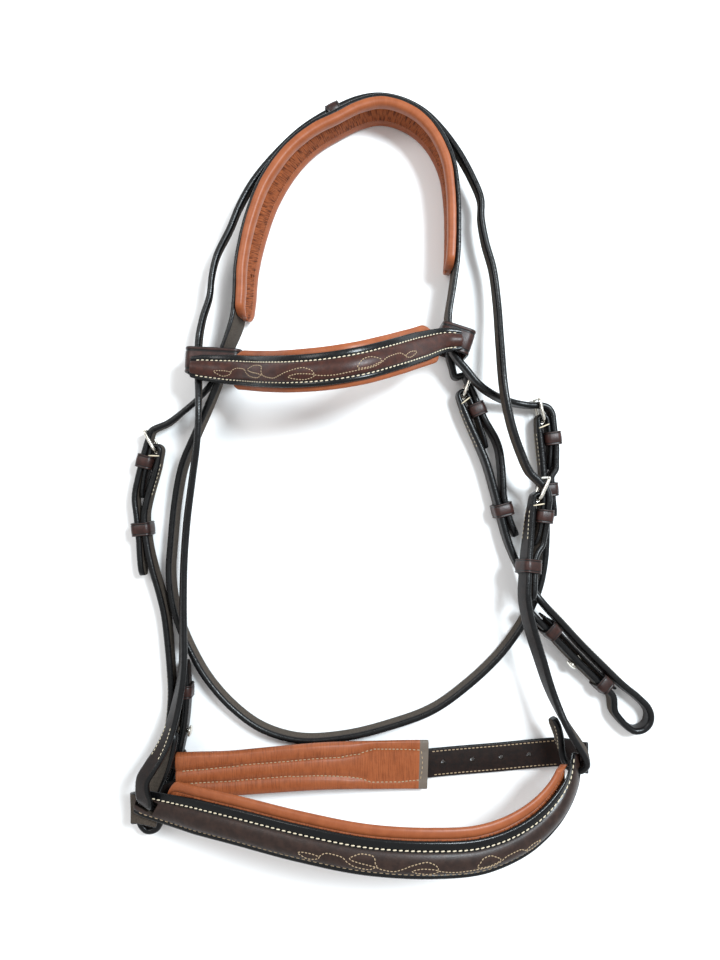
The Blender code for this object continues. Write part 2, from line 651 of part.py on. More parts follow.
def cylinder(name, centre, x, y, radius, depth):
    """A drum whose ends are parallel to two directions at right angles."""
    mesh = bpy.data.meshes.new(name)
    work = bmesh.new()
    bmesh.ops.create_cone(
        work, cap_ends=True, segments=12, radius1=radius, radius2=radius, depth=depth
    )
    work.to_mesh(mesh)
    work.free()
    return add_cutter(name, mesh, frame_matrix(centre, x, y, np.cross(x, y)))


def add_cutter(name, mesh, matrix):
    made = bpy.data.objects.new(name, mesh)
    CUTTERS.objects.link(made)
    made.matrix_world = matrix
    made.hide_render = True
    made.display_type = "WIRE"
    return made


def cut(target, cutters):
    for cutter in cutters:
        step = target.modifiers.new(cutter.name, "BOOLEAN")
        step.operation = "DIFFERENCE"
        step.object = cutter
        step.solver = "EXACT"


class Buckle:
    """The place and directions of a buckle at the turned end of a strap."""

    def __init__(self, which, leg, leather):
        centre, run, up, side = leg.place(0)
        out = side * BILLET_SIDES[which]
        angle = FRAME_ANGLES[which]
        self.which = which
        self.leather = leather
        self.up = up
        self.run = run
        self.out = out
        self.bar = centre + out * leather.turn_radius
        self.ahead = -run * math.cos(angle) + out * math.sin(angle)
        self.over = out * math.cos(angle) + run * math.sin(angle)

    def frame(self, name):
        half = self.leather.width / 2 + FRAME_SIDE_PLAY + WIRE_RADIUS
        flat = rounded_corners(0, FRAME_LENGTH, -half, half, FRAME_CORNER, 3)
        points = [self.bar + self.ahead * x + self.up * y for x, y in flat]
        made = curve_object(name, [points], "steel", flat=False)
        made.data.bevel_depth = WIRE_RADIUS
        made.data.bevel_resolution = 1
        return made

    def tongue(self, name):
        """A wire hooked round the bar, with its tip resting on the far end of the frame."""
        points = []
        for k in range(TONGUE_STEPS + 1):
            angle = TONGUE_HOOK_START + (TONGUE_HOOK_END - TONGUE_HOOK_START) * k / TONGUE_STEPS
            reach = self.over * math.sin(angle) + self.ahead * math.cos(angle)
            points.append(self.bar + reach * TONGUE_OFFSET)
        length = FRAME_LENGTH + TONGUE_OVERHANG
        for share in TONGUE_POINT_SHARES:
            points.append(self.bar + self.over * TONGUE_OFFSET + self.ahead * share * length)
        made = curve_object(name, [points], "steel", flat=False, closed=False)
        made.data.bevel_depth = TONGUE_RADIUS
        made.data.bevel_resolution = 1
        made.data.use_fill_caps = True
        hang([made], name + "_axis", self.bar, self.ahead, self.over)
        return made

    def slot_cutters(self, name):
        """The slot in the turned end that lets the tongue out, as a drum and a box."""
        half = TONGUE_RADIUS + TONGUE_PLAY
        drum = cylinder(
            name + "_drum", self.bar, self.ahead, self.over, TONGUE_OFFSET + half, 2 * half
        )
        reach = self.leather.turn_radius + self.leather.turn + SEAM_GAP
        low = TONGUE_OFFSET - half
        high = TONGUE_OFFSET + half + reach * math.sin(TONGUE_SWING)
        gate = box(
            name + "_gate", self.bar + self.ahead * reach / 2 + self.over * (low + high) / 2,
            self.ahead, self.over, reach, high - low, 2 * (TONGUE_RADIUS + GATE_PLAY),
        )
        return [drum, gate]

    def hole_cutter(self, name):
        """The long hole in a billet that the tongue goes through."""
        half = TONGUE_RADIUS + TONGUE_PLAY
        start, end = FRAME_LENGTH * HOLE_SPAN_SHARES[0], FRAME_LENGTH * HOLE_SPAN_SHARES[1]
        low = TONGUE_OFFSET - half
        high = TONGUE_OFFSET + half + FRAME_LENGTH * math.sin(TONGUE_SWING)
        return box(
            name, self.bar + self.ahead * (start + end) / 2 + self.over * (low + high) / 2,
            self.ahead, self.over, end - start, high - low, 2 * half,
        )

    def entry_rows(self):
        return [
            [self.bar + (self.out * a - self.run * b) * FRAME_LENGTH, self.up]
            for a, b in ENTRY_SHARES[self.which]
        ]


def hang(pieces, name, centre, x, y):
    """Hangs pieces from an empty whose Z runs along the axis that they move about or along."""
    axis = bpy.data.objects.new(name, None)
    PARTS.objects.link(axis)
    axis.empty_display_size = AXIS_MARK_SIZE
    axis.matrix_world = frame_matrix(centre, x, y, np.cross(x, y))
    for piece in pieces:
        piece.parent = axis
        piece.matrix_parent_inverse = axis.matrix_world.inverted()


class Station:
    """Where the parts of one buckled joint lie along the strap below the buckle."""

    def __init__(self, which, leg):
        self.keeper = nearest_mark(leg, *KEEPER_PIXELS[which])
        self.tail = nearest_mark(leg, *TAIL_END_PIXELS[which])
        self.runner = nearest_mark(leg, *RUNNER_PIXELS[which])
        self.billet = nearest_mark(leg, *BILLET_END_PIXELS[which])


def turned_strap(name, leg, buckle, tail, more=(), end_tip=False):
    """A strap whose start is turned round a bar and laid back beside itself."""
    leather = buckle.leather
    side = BILLET_SIDES[buckle.which]
    marks = np.linspace(tail, 0, TAIL_STEPS)
    offsets = np.interp(
        marks, [0, TAIL_REACH, tail],
        [2 * leather.turn_radius, 2 * leather.turn_radius, leather.tail_offset],
    )
    rows = beside(leg, marks, side * offsets)
    for k in range(1, TURN_STEPS):
        angle = math.pi * k / TURN_STEPS
        reach = buckle.out * math.cos(angle) - buckle.run * math.sin(angle)
        rows.append([buckle.bar + reach * leather.turn_radius, buckle.up])
    leg_marks = list(np.arange(0, leg.length - LEG_STEP / 2, LEG_STEP)) + [leg.length]
    rows += beside(leg, leg_marks, np.zeros(len(leg_marks)))
    path = Path(rows + list(more))
    bend_start = path.row_marks[len(marks) - 1]
    bend_end = path.row_marks[len(marks) - 1 + TURN_STEPS]
    thickness = (
        [0, bend_start, bend_end, bend_end + SKIVE_LENGTH],
        [leather.tail, leather.turn, leather.turn, leather.strap],
    )
    made = strap(name, path, thickness, leather.width, tips=(True, end_tip))
    cut(made, buckle.slot_cutters(name))
    return made, path, bend_end


def buckled_billet(name, incoming, leg, buckle, place, start_tip=False):
    """A billet that comes in through the frame and lies along the strap below the buckle."""
    leather = buckle.leather
    bulge, gape = BULGE_SHARES[buckle.which]
    closed_start, closed_end = place.runner - CLOSED_REACH, place.runner + CLOSED_REACH
    known = [0, TAIL_REACH, place.tail, closed_start, closed_end, place.billet]
    offsets = [
        leather.billet_offset, leather.billet_offset,
        leather.over_tail_offset + bulge * STRAP_WIDTH, leather.closed_offset,
        leather.closed_offset, leather.closed_offset + gape * STRAP_WIDTH,
    ]
    marks = np.linspace(ENTRY_SETTLE, place.billet, BILLET_STEPS)
    laid = beside(leg, marks, BILLET_SIDES[buckle.which] * np.interp(marks, known, offsets))
    path = Path(route_rows(incoming) + buckle.entry_rows() + laid)
    made = strap(name, path, leather.billet, leather.width, tips=(start_tip, True))
    cut(made, [buckle.hole_cutter(name + "_hole")])
    return made, path


def buckle_keepers(prefix, leg, buckle, place):
    """The fixed keeper round the tail and billet, and the loose one round all the layers."""
    leather = buckle.leather
    side = BILLET_SIDES[buckle.which]
    inner = 2 * leather.turn_radius - leather.turn / 2
    outer = leather.billet_offset + leather.billet / 2
    fixed = sorted((side * inner, side * outer))
    first = keeper(prefix + "_keeper", leg, place.keeper, *fixed, leather.width)
    whole = sorted((-side * leather.strap / 2, side * (leather.closed_offset + leather.billet / 2)))
    loose = keeper(
        prefix + "_runner", leg, place.runner, *whole, leather.width, play=RUNNER_PLAY
    )
    return first, loose


def turned_solid(name, profile, matrix, colour):
    """A solid of revolution about its own Z axis."""
    mesh = bpy.data.meshes.new(name)
    edges = [(i, i + 1) for i in range(len(profile) - 1)]
    mesh.from_pydata([(r, 0, h) for r, h in profile], edges, [])
    made = add_object(name, mesh, colour)
    made.matrix_world = matrix
    spin = made.modifiers.new("turn", "SCREW")
    spin.axis = "Z"
    spin.screw_offset = 0
    spin.steps = SPIN_STEPS
    spin.render_steps = SPIN_STEPS
    spin.use_merge_vertices = True
    spin.merge_threshold = MERGE_DISTANCE
    spin.use_normal_calculate = True
    spin.use_normal_flip = True
    return made


def hook_stud(name, leg, mark, side):
    """A stud on the lining: foot, neck through the billet, domed head."""
    centre, along, up, right = leg.place(mark)
    out = right * side
    foot = centre + out * (LINING_OFFSET + LINING_THICKNESS / 2 + SEAM_GAP)
    head = STUD_FOOT_HEIGHT + 2 * BIT_GAP + STRAP_THICKNESS
    profile = [
        (0, head + STUD_HEAD_HEIGHT),
        (STUD_RADIUS * STUD_CROWN_SHARE, head + STUD_HEAD_HEIGHT),
        (STUD_RADIUS, head + STUD_HEAD_HEIGHT * STUD_SHOULDER_SHARE),
        (STUD_RADIUS, head),
        (STUD_NECK_RADIUS, head),
        (STUD_NECK_RADIUS, STUD_FOOT_HEIGHT),
        (STUD_FOOT_RADIUS, STUD_FOOT_HEIGHT),
        (STUD_FOOT_RADIUS, 0),
        (0, 0),
    ]
    turned_solid(name, profile, frame_matrix(foot, up, np.cross(out, up), out), "steel")
    hole = foot + out * (head / 2)
    return cylinder(
        name + "_hole", hole, up, np.cross(out, up),
        STUD_NECK_RADIUS + STUD_PLAY, STRAP_THICKNESS + 3 * BIT_GAP,
    )


def cheekpiece(hand, route, incoming):
    """One cheekpiece: buckle end, strap, and bit loop with its hook-stud billet."""
    which = hand + "_cheek"
    leg = Path(route_rows(route))
    buckle = Buckle(which, leg, NARROW)
    place = Station(which, leg)
    side = BIT_SIDES[hand]
    upper = nearest_mark(leg, *UPPER_BIT_KEEPER_PIXELS[hand])
    lower = nearest_mark(leg, *LOWER_BIT_KEEPER_PIXELS[hand])
    stud = nearest_mark(leg, *STUD_PIXELS[hand])
    tip = nearest_mark(leg, *HOOK_TIP_PIXELS[hand])
    marks = np.linspace(lower + HOOK_RETURN, tip, HOOK_STEPS)
    hook_rows = beside(leg, marks, np.full(HOOK_STEPS, side * HOOK_OFFSET))
    made, path, start = turned_strap(
        which + "_strap", leg, buckle, place.tail, hook_rows, end_tip=True
    )
    buckle.frame(which + "_buckle")
    buckle.tongue(which + "_tongue")
    buckled_billet(which + "_billet", incoming, leg, buckle, place)
    buckle_keepers(which, leg, buckle, place)
    cut(made, [hook_stud(which + "_hook_stud", leg, stud, side)])
    strap(
        which + "_lining", leg, LINING_THICKNESS, start=upper - LINING_ABOVE,
        end=lower + LINING_BELOW, sides=side * LINING_OFFSET,
    )
    inner = LINING_OFFSET - LINING_THICKNESS / 2
    outer = HOOK_OFFSET + STRAP_THICKNESS / 2
    span = sorted((side * inner, side * outer))
    for end, mark in (("upper", upper), ("lower", lower)):
        keeper(
            which + "_bit_keeper_" + end, leg, mark, *span, play=BIT_KEEPER_PLAY,
            wall=BIT_KEEPER_THICKNESS,
        )


def headpiece():
    path = Path(route_rows(CROWN_ROUTE_SHARES))
    strap("crown_strap", path, CROWN_THICKNESS, CROWN_WIDTH, section=WIDE_SECTION_SHARES)
    first, last = (share * path.length for share in CROWN_PAD_SPAN_SHARES)
    strap(
        "crown_pad", path, PAD_THICKNESS, PAD_WIDTH, first, last, (True, True), "tan",
        CROWN_PAD_SECTION_SHARES, CROWN_THICKNESS / 2 + PAD_GAP + PAD_THICKNESS / 2,
    )


def throatlatch():
    leg = Path(route_rows(THROATLATCH_SHARES))
    buckle = Buckle("throat", leg, NARROW)
    place = Station("throat", leg)
    turned_strap("throatlatch", leg, buckle, place.tail)
    buckle.frame("throat_buckle")
    buckle.tongue("throat_tongue")
    buckled_billet("throat_billet", THROAT_BILLET_SHARES, leg, buckle, place)
    buckle_keepers("throat", leg, buckle, place)


def browband():
    path = Path(route_rows(BROWBAND_SHARES, BROWBAND_FLOOR))
    band = strap(
        "browband_strap", path, BROWBAND_THICKNESS, BROWBAND_WIDTH,
        section=RAISED_SECTION_SHARES,
    )
    first, last = (share * path.length for share in BROWBAND_PAD_SPAN_SHARES)
    under = BROWBAND_THICKNESS / 2 + PAD_GAP + BROWBAND_PAD_THICKNESS / 2
    padding = strap(
        "browband_padding", path, BROWBAND_PAD_THICKNESS, BROWBAND_PAD_WIDTH, first, last,
        (True, True), "tan", PAD_SECTION_SHARES, -under,
    )
    pieces = [band, padding]
    for hand, (column, row) in LOOP_PIXELS.items():
        middle = LOOP_FLOOR + LOOP_HEIGHT / 2
        centre = seen_from_above(column, row, middle)
        angle = LOOP_ANGLES[hand]
        x = (math.cos(angle), math.sin(angle), 0)
        z = (math.sin(angle), -math.cos(angle), 0)
        half, rise = LOOP_WIDTHS[hand] / 2, LOOP_HEIGHT / 2
        inner = rounded_corners(-half, half, -rise, rise, LOOP_CORNER, 2)
        half, rise = half + LOOP_THICKNESS, rise + LOOP_THICKNESS
        outer = rounded_corners(-half, half, -rise, rise, LOOP_CORNER + LOOP_THICKNESS, 3)
        made = curve_object("browband_loop_" + hand, [outer, inner], "brown", flat=True)
        made.data.fill_mode = "BOTH"
        made.data.extrude = LOOP_LENGTH / 2
        made.matrix_world = frame_matrix(centre, x, (0, 0, 1), z)
        pieces.append(made)
    turn = sum(LOOP_ANGLES.values()) / len(LOOP_ANGLES)
    across = (math.cos(turn), math.sin(turn), 0)
    hang(pieces, "browband_axis", path.points[0], (0, 0, 1), across)


def slot_cutter(name, path, mark, sizes=SLOT_SIZES):
    """A slot across a band, where another strap passes through it."""
    centre, along, up, side = path.place(mark)
    return box(name, centre, side, up, *sizes)


def noseband():
    """The band with its padding, the two straps that carry it, and the chin strap."""
    leg = Path(route_rows(HANGER_SHARES))
    buckle = Buckle("noseband", leg, NARROW)
    place = Station("noseband", leg)
    turned_strap("noseband_hanger", leg, buckle, place.tail, end_tip=True)
    buckle.frame("noseband_buckle")
    buckle.tongue("noseband_tongue")
    _, head_path = buckled_billet(
        "noseband_headstrap", HEADSTRAP_SHARES, leg, buckle, place, start_tip=True
    )
    buckle_keepers("noseband", leg, buckle, place)
    half = BILLET_THICKNESS / 2
    keeper(
        "crown_keeper", head_path, nearest_mark(head_path, *CROWN_KEEPER_PIXELS), -half, half
    )

    left_mark = nearest_mark(head_path, *HEADSTRAP_SLOT_PIXELS)
    right_mark = nearest_mark(leg, *HANGER_SLOT_PIXELS)
    left_slot = slot_cutter("left_slot", head_path, left_mark)
    right_slot = slot_cutter("right_slot", leg, right_mark)
    pad_notch = slot_cutter("pad_notch", leg, right_mark, NOTCH_SIZES)
    chin_slot = slot_cutter("chin_slot", head_path, left_mark - CHIN_SLOT_DROP)
    path = Path(route_rows(NOSEBAND_SHARES))
    places = [share * path.length for share in BAND_RISE_SHARES]
    thickness = (
        places,
        [BAND_END_THICKNESS, NOSEBAND_THICKNESS, NOSEBAND_THICKNESS, BAND_END_THICKNESS],
    )
    band = strap(
        "noseband_strap", path, thickness, NOSEBAND_WIDTH, section=RAISED_SECTION_SHARES
    )
    cut(band, [left_slot, right_slot])
    first, last = (share * path.length for share in NOSEBAND_PAD_SPAN_SHARES)
    under = NOSEBAND_THICKNESS / 2 + PAD_GAP + NOSEBAND_PAD_THICKNESS / 2
    padding = strap(
        "noseband_padding", path, NOSEBAND_PAD_THICKNESS, NOSEBAND_PAD_WIDTH, first, last,
        (True, True), "tan", PAD_SECTION_SHARES, -under, NOSEBAND_PAD_SHIFT,
    )
    cut(padding, [pad_notch])
    pieces = [band, padding] + chin_parts(chin_slot)
    left_centre, right_centre = head_path.place(left_mark)[0], leg.place(right_mark)[0]
    line = unit(right_centre - left_centre)
    ahead = unit(np.cross((0, 0, 1), line))
    hang(pieces, "noseband_axis", left_centre, ahead, np.cross(line, ahead))


def chin_parts(slot):
    """The chin strap with its buckle and pad, which hang from the noseband."""
    leg = Path(route_rows(CHIN_STRAP_SHARES))
    buckle = Buckle("chin", leg, BROAD)
    place = Station("chin", leg)
    made, _, _ = turned_strap("chin_strap", leg, buckle, place.tail)
    cut(made, [slot])
    frame = buckle.frame("chin_buckle")
    tongue = buckle.tongue("chin_tongue")
    billet, path = buckled_billet("chin_billet", CHIN_BILLET_SHARES, leg, buckle, place)
    for k, hole in enumerate(CHIN_HOLE_PIXELS):
        centre, along, up, side = path.place(nearest_mark(path, *hole))
        punch = cylinder(
            "chin_hole_" + str(k), centre, along, up, PUNCH_RADIUS, 4 * BROAD.billet
        )
        cut(billet, [punch])
    keepers = buckle_keepers("chin", leg, buckle, place)
    path = Path(route_rows(CHIN_PAD_ROUTE_SHARES))
    pad = strap(
        "chin_pad", path, ([0, path.length], [CHIN_PAD_THICKNESS, CHIN_PAD_END_THICKNESS]),
        ([0, path.length], [CHIN_PAD_WIDTH, CHIN_PAD_END_WIDTH]), colour="tan",
        section=PAD_SECTION_SHARES,
    )
    return [made, frame, tongue.parent, billet, pad, *keepers]


for old in list(bpy.data.objects):
    bpy.data.objects.remove(old, do_unlink=True)
PARTS = collection(NAME)
CUTTERS = collection("cutters")

headpiece()
cheekpiece("left", LEFT_CHEEK_SHARES, LEFT_CHEEK_BILLET_SHARES)
cheekpiece("right", RIGHT_CHEEK_SHARES, RIGHT_CHEEK_BILLET_SHARES)
throatlatch()
browband()
noseband()
bpy.context.view_layer.update()
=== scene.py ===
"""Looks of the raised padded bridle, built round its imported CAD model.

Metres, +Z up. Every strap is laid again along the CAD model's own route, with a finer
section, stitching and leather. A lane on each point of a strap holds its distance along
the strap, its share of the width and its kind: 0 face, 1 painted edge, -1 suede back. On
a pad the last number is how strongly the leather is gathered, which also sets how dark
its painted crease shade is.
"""

import json
import math

import bpy
import numpy as np
from mathutils import Matrix, Vector
from mathutils.kdtree import KDTree


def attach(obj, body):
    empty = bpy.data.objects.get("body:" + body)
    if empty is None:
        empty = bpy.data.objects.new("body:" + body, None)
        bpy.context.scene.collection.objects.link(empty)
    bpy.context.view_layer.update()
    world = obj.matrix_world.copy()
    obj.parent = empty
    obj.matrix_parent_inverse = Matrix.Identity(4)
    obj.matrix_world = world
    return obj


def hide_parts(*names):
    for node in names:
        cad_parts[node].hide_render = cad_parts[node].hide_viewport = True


# Reference frame: what one pixel covers on the table, and how high the viewpoint is.
PIXEL = 0.0008
EYE_HEIGHT = 0.577
MIDDLE_COLUMN_PIXELS = 360
MIDDLE_ROW_PIXELS = 480
CENTRE_X = 0.0256
CENTRE_Y = 0.0098

# Leather
STRAP_WIDTH = 0.013
STRAP_THICKNESS = 0.0052
BILLET_THICKNESS = 0.0048
TURN_THICKNESS = 0.0034
TAIL_THICKNESS = 0.003
LINING_THICKNESS = 0.0022
SEAM_GAP = 0.00035
PAD_GAP = 0.0009
BIT_GAP = 0.001
BAR_GAP = 0.0007
LAYER_GAP = 0.0006
TIP_LENGTH = 0.008
PUNCH_RADIUS = 0.0018
SLOT_PLAY = 0.0016
SLOT_DEPTH = 0.016

# Buckles
WIRE_RADIUS = 0.00125
TONGUE_RADIUS = 0.0009
FRAME_LENGTH = 0.0175
FRAME_SIDE_PLAY = 0.001
TONGUE_PLAY = 0.0004
GATE_PLAY = 0.0005
TONGUE_OVERHANG = 0.0015
TONGUE_HOOK_START = math.radians(355)
TONGUE_HOOK_END = math.radians(100)
TONGUE_SWING = math.radians(6)
FRAME_CORNER = 0.003
FRAME_CORNER_STEPS = 8
HOLE_SPAN_SHARES = (0.18, 0.86)
TAIL_STEPS = 7
BILLET_STEPS = 14
ENTRY_SETTLE = 0.007
CLOSED_REACH = 0.0095

# Keepers
KEEPER_THICKNESS = 0.0015
KEEPER_LENGTH = 0.0105
KEEPER_PLAY = 0.0008
RUNNER_PLAY = 0.0009
BIT_KEEPER_PLAY = 0.0005
BIT_KEEPER_THICKNESS = 0.0012
TAIL_REACH = 0.021
SKIVE_LENGTH = 0.012
LEG_STEP = 0.007

# Headpiece
CROWN_SPLIT = 0.004
CROWN_THICKNESS = 0.0036
PAD_WIDTH = 0.038
PAD_THICKNESS = 0.0064

# Browband
BROWBAND_THICKNESS = 0.0052
BROWBAND_PAD_WIDTH = 0.0295
BROWBAND_PAD_THICKNESS = 0.0044
LOOP_THICKNESS = 0.002
LOOP_LENGTH = 0.0195

# Noseband
NOSEBAND_THICKNESS = 0.0056
NOSEBAND_PAD_WIDTH = 0.0325
NOSEBAND_PAD_THICKNESS = 0.0046
CHIN_WIDTH = 0.023
CHIN_THICKNESS = 0.003
CHIN_TURN_THICKNESS = 0.0028
CHIN_TAIL_THICKNESS = 0.0022
CHIN_BILLET_THICKNESS = 0.0025
CHIN_PAD_WIDTH = 0.034
CHIN_PAD_END_WIDTH = 0.039
CHIN_PAD_THICKNESS = 0.0062
CHIN_PAD_END_THICKNESS = 0.0045

# Hook studs; the shares are of the foot's and the head's radius
STUD_RADIUS = 0.0045
STUD_NECK_RADIUS = 0.0016
STUD_HEAD_HEIGHT = 0.0024
STUD_FOOT_HEIGHT = 0.0008
STUD_FOOT_RADIUS = 0.0032
STUD_PLAY = 0.0005
STUD_CENTRE_SHARE = 0.1
STUD_UNDER_SHARE = 0.94
STUD_TOP_SHARE = 0.02
STUD_RIM_ANGLE = 0.5
STUD_STEPS = 8

# Derived sizes
TONGUE_OFFSET = WIRE_RADIUS + SEAM_GAP + TONGUE_RADIUS
TONGUE_ROOM = TONGUE_RADIUS + TONGUE_PLAY
CROWN_WIDTH = 2 * STRAP_WIDTH + CROWN_SPLIT
LINING_OFFSET = (
    STRAP_THICKNESS / 2 + BIT_GAP + BIT_KEEPER_THICKNESS + BIT_KEEPER_PLAY + LINING_THICKNESS / 2
)
HOOK_OFFSET = (
    LINING_OFFSET + LINING_THICKNESS / 2 + BIT_GAP + STUD_FOOT_HEIGHT + STRAP_THICKNESS / 2
)
SLOT_SIZES = (STRAP_THICKNESS + 2 * SLOT_PLAY, STRAP_WIDTH + 2 * SLOT_PLAY, SLOT_DEPTH)

# Fineness of the laid straps, and limits for runs that are steep or seen nearly end on
STEEP_SHARE = 0.55
LEAST_SEEN_SHARE = 0.3
LEAST_GAP = 1e-9
DENSE_STEP = 0.0006
LONGEST_STEP = 0.0024
SHARPEST_TURN = math.radians(7)
TURN_STEPS = 6
TONGUE_STEPS = 14
WIRE_SIDES = 14
ROUND_SIDES = 40
SMOOTH_REACH = 0.006
END_INSETS = (0, 0.00012, 0.00035, 0.0008)
END_PLACES = (0.0008, 0.00035, 0.0001, 0)
TIP_PLACE_SHARES = (0.02, 0.06, 0.12, 0.2, 0.3, 0.45, 0.6, 0.8, 1)
TIP_BLUNT_SHARE = 0.82

# Raised bands as they look from above: width, shift across, and where the stitch rows lie
NOSEBAND_FACE_WIDTH = 0.0262
NOSEBAND_FACE_SHIFT = -0.0027
NOSEBAND_ROW_SHARES = (0.508, -0.74)
BROWBAND_FACE_WIDTH = 0.0222
BROWBAND_FACE_SHIFT = -0.0009
BROWBAND_ROW_SHARES = (0.56, -0.7)
FLANGE_SHARE = -0.16
FLANGE_MIDDLE_SHARE = -0.13
FLANGE_START_SHARE = 0.9
FLANGE_GAP_SHARE = 0.1
GROOVE_SHARE = -0.36
GROOVE_SIDE_SHARE = -0.26
GROOVE_GAP_SHARE = 0.04
DOME_STEPS = 16
DOME_POWER = 0.55
DOME_EDGE_RISES = (0.3, 0.6)
DOME_EDGE_KINDS = (0.6, 0)
BAND_UPPER_RIM_SHARES = [(1, -0.8), (0.99, -0.5), (0.96, -0.28)]
BAND_LOWER_RIM_SHARES = [(-0.93, -0.22), (-0.985, -0.45), (-1, -0.8)]
BAND_UNDER_SHARES = (-0.96, -0.3, 0.3, 0.96)

# Threads: pitch, length and radius of a stitch
NOSEBAND_THREAD = (0.0042, 0.003, 0.0006)
LOWER_THREAD = (0.0042, 0.003, 0.0004)
BROWBAND_THREAD = (0.0034, 0.0024, 0.00052)
NOSEBAND_VINE_THREAD = (0.0025, 0.0018, 0.00038)
BROWBAND_VINE_THREAD = (0.0021, 0.0014, 0.00034)
STRAP_THREAD = (0.0032, 0.002, 0.0003)
PAD_THREAD = (0.0024, 0.0016, 0.0003)
CHIN_THREAD = (0.0032, 0.0022, 0.0004)
CROSS_LENGTH = 0.0055
CROSS_RADIUS = 0.00052
STITCH_SINK = 0.35
STITCH_PLACE_SHARES = (-0.5, -0.44, -0.28, 0.28, 0.44, 0.5)
STITCH_ROUND_SHARES = (0.25, 0.75, 1, 1, 0.75, 0.25)
STITCH_DROP_SHARES = (0.9, 0.35, 0, 0, 0.35, 0.9)
STITCH_SIDES = 6
STITCH_FLATNESS = 0.75
VINE_STEPS = 8
LINE_STITCH_SHARES = (0.3, 0.7)

# Where the seams run, seen from above, and how far they keep from ends and edges
SEAM_START = 0.009
SEAM_END = 0.0035
SEAM_SHARE = 0.62
CROSS_START = 0.0045
CROSS_SLANT = 0.25
SEAM_SLANT = 0.16
CROWN_PAD_SEAM_SHARES = (0.43, -0.56)
CHIN_SEAM_SHARE = 0.8
VINE_MARGIN = 0.1
NOSEBAND_VINE_PIXELS = [(300, 841), (536, 830)]
BROWBAND_VINE_PIXELS = [(215, 367), (412, 348)]
HANGER_SEAM_PIXELS = (561, 747)
HEADSTRAP_SEAM_PIXELS = [(156, 758), (167, 726)]
CHIN_BILLET_SEAM_PIXELS = [(556, 752), (432, 762)]
CHIN_PAD_FLAT_PIXELS = (368, 768)
CHIN_PAD_FADE = 0.012
CHIN_PAD_RAW_REACH = 0.0065
CHIN_PAD_SEAM_PIXELS = [
    [(182, 771), (205, 769), (240, 765), (290, 761), (340, 757), (360, 753), (372, 749),
     (398, 749), (420, 750)],
    [(190, 783), (240, 780), (292, 776), (340, 776), (360, 778), (372, 782), (398, 782),
     (420, 780)],
    [(421, 750), (422, 760), (422, 770), (421, 780)],
]
VINE_LINE_SHARES = [
    [(0.086, 0.34), (0.127, 0.62), (0.169, 0.59), (0.204, 0.33), (0.239, 0.14), (0.281, 0.09),
     (0.314, 0.28)],
    [(0.314, 0.3), (0.345, 0.16), (0.38, 0.11), (0.415, 0.26), (0.457, 0.51), (0.513, 0.69),
     (0.534, 0.62), (0.556, 0.43), (0.559, 0.22)],
    [(0.559, 0.22), (0.591, 0.14), (0.633, 0.1), (0.682, 0.13), (0.724, 0.15), (0.767, 0.14),
     (0.809, 0.27), (0.851, 0.48), (0.893, 0.5), (0.918, 0.36), (0.928, 0.2)],
    [(0.086, 0.34), (0.053, 0.4), (0.02, 0.38), (0, 0.3), (0.018, 0.16), (0.042, 0.05),
     (0.07, 0.12), (0.086, 0.34)],
    [(0.314, 0.3), (0.28, 0.36), (0.245, 0.42), (0.211, 0.53), (0.228, 0.74), (0.26, 0.875),
     (0.29, 0.86), (0.306, 0.75), (0.311, 0.5), (0.314, 0.3)],
    [(0.559, 0.22), (0.54, 0.3), (0.5, 0.34), (0.475, 0.28), (0.457, 0.18), (0.48, 0.06),
     (0.52, 0), (0.545, 0.06), (0.559, 0.22)],
    [(0.727, 0.22), (0.731, 0.57), (0.745, 0.72), (0.767, 0.77), (0.795, 0.62), (0.812, 0.36),
     (0.79, 0.26), (0.76, 0.2), (0.727, 0.22)],
    [(0.928, 0.2), (0.945, 0.33), (0.965, 0.38), (1, 0.3), (0.98, 0.14), (0.955, 0.08),
     (0.928, 0.2)],
]

# How the raised bands narrow towards their ends: distance from each end, share of the width
NOSEBAND_START_SHARES = [(0, 0.66), (0.008, 0.8), (0.05, 1)]
NOSEBAND_END_SHARES = [(0.03, 1), (0.006, 0.88), (0, 0.76)]
BROWBAND_START_SHARES = [(0, 0.7), (0.008, 0.86), (0.03, 1)]
BROWBAND_END_SHARES = [(0.04, 1), (0.008, 0.8), (0, 0.68)]

# Straps whose suede side looks outward
TURNED_NODES = ("right_cheek_strap", "right_cheek_billet", "noseband_hanger", "throat_billet")

# Crown strap ends, loops and keepers; a crease row is a point's distance, height and kind
CROWN_END_REACH = 0.02
CROWN_END_NARROWING = 0.002
CROWN_END_THINNING = 0.0008
LOOP_BEND = 0.004
KEEPER_BEND = 0.0026
KEEPER_BEND_STEPS = 6
KEEPER_EDGE_STEPS = 4
KEEPER_SOFT_SHARE = 0.42
KEEPER_MIDDLE_SHARE = 1.08
CREASE_SHARE = 0.7
CREASE_ROWS = [(0.12, 0.95, 0.2), (0.05, 0.8, 0.9), (0, 0.62, 1), (-0.05, 0.8, 0.9), (-0.12, 1, 0)]

# Tongues, the sides of drums, cut edges, and how far apart a surface's slope is measured
DRUM_SIDES = 24
TONGUE_POINT_SHARES = (0.2, 0.4, 0.6, 0.8, 0.92, 0.97, 0.99, 1)
TONGUE_HOOK_SHARES = (0.45, 0.85)
TONGUE_TIP_SHARES = (0.95, 0.85, 0.65, 0.35)
CUT_EDGE_ANGLE = math.radians(38)
SLOPE_REACH_SHARE = 0.02
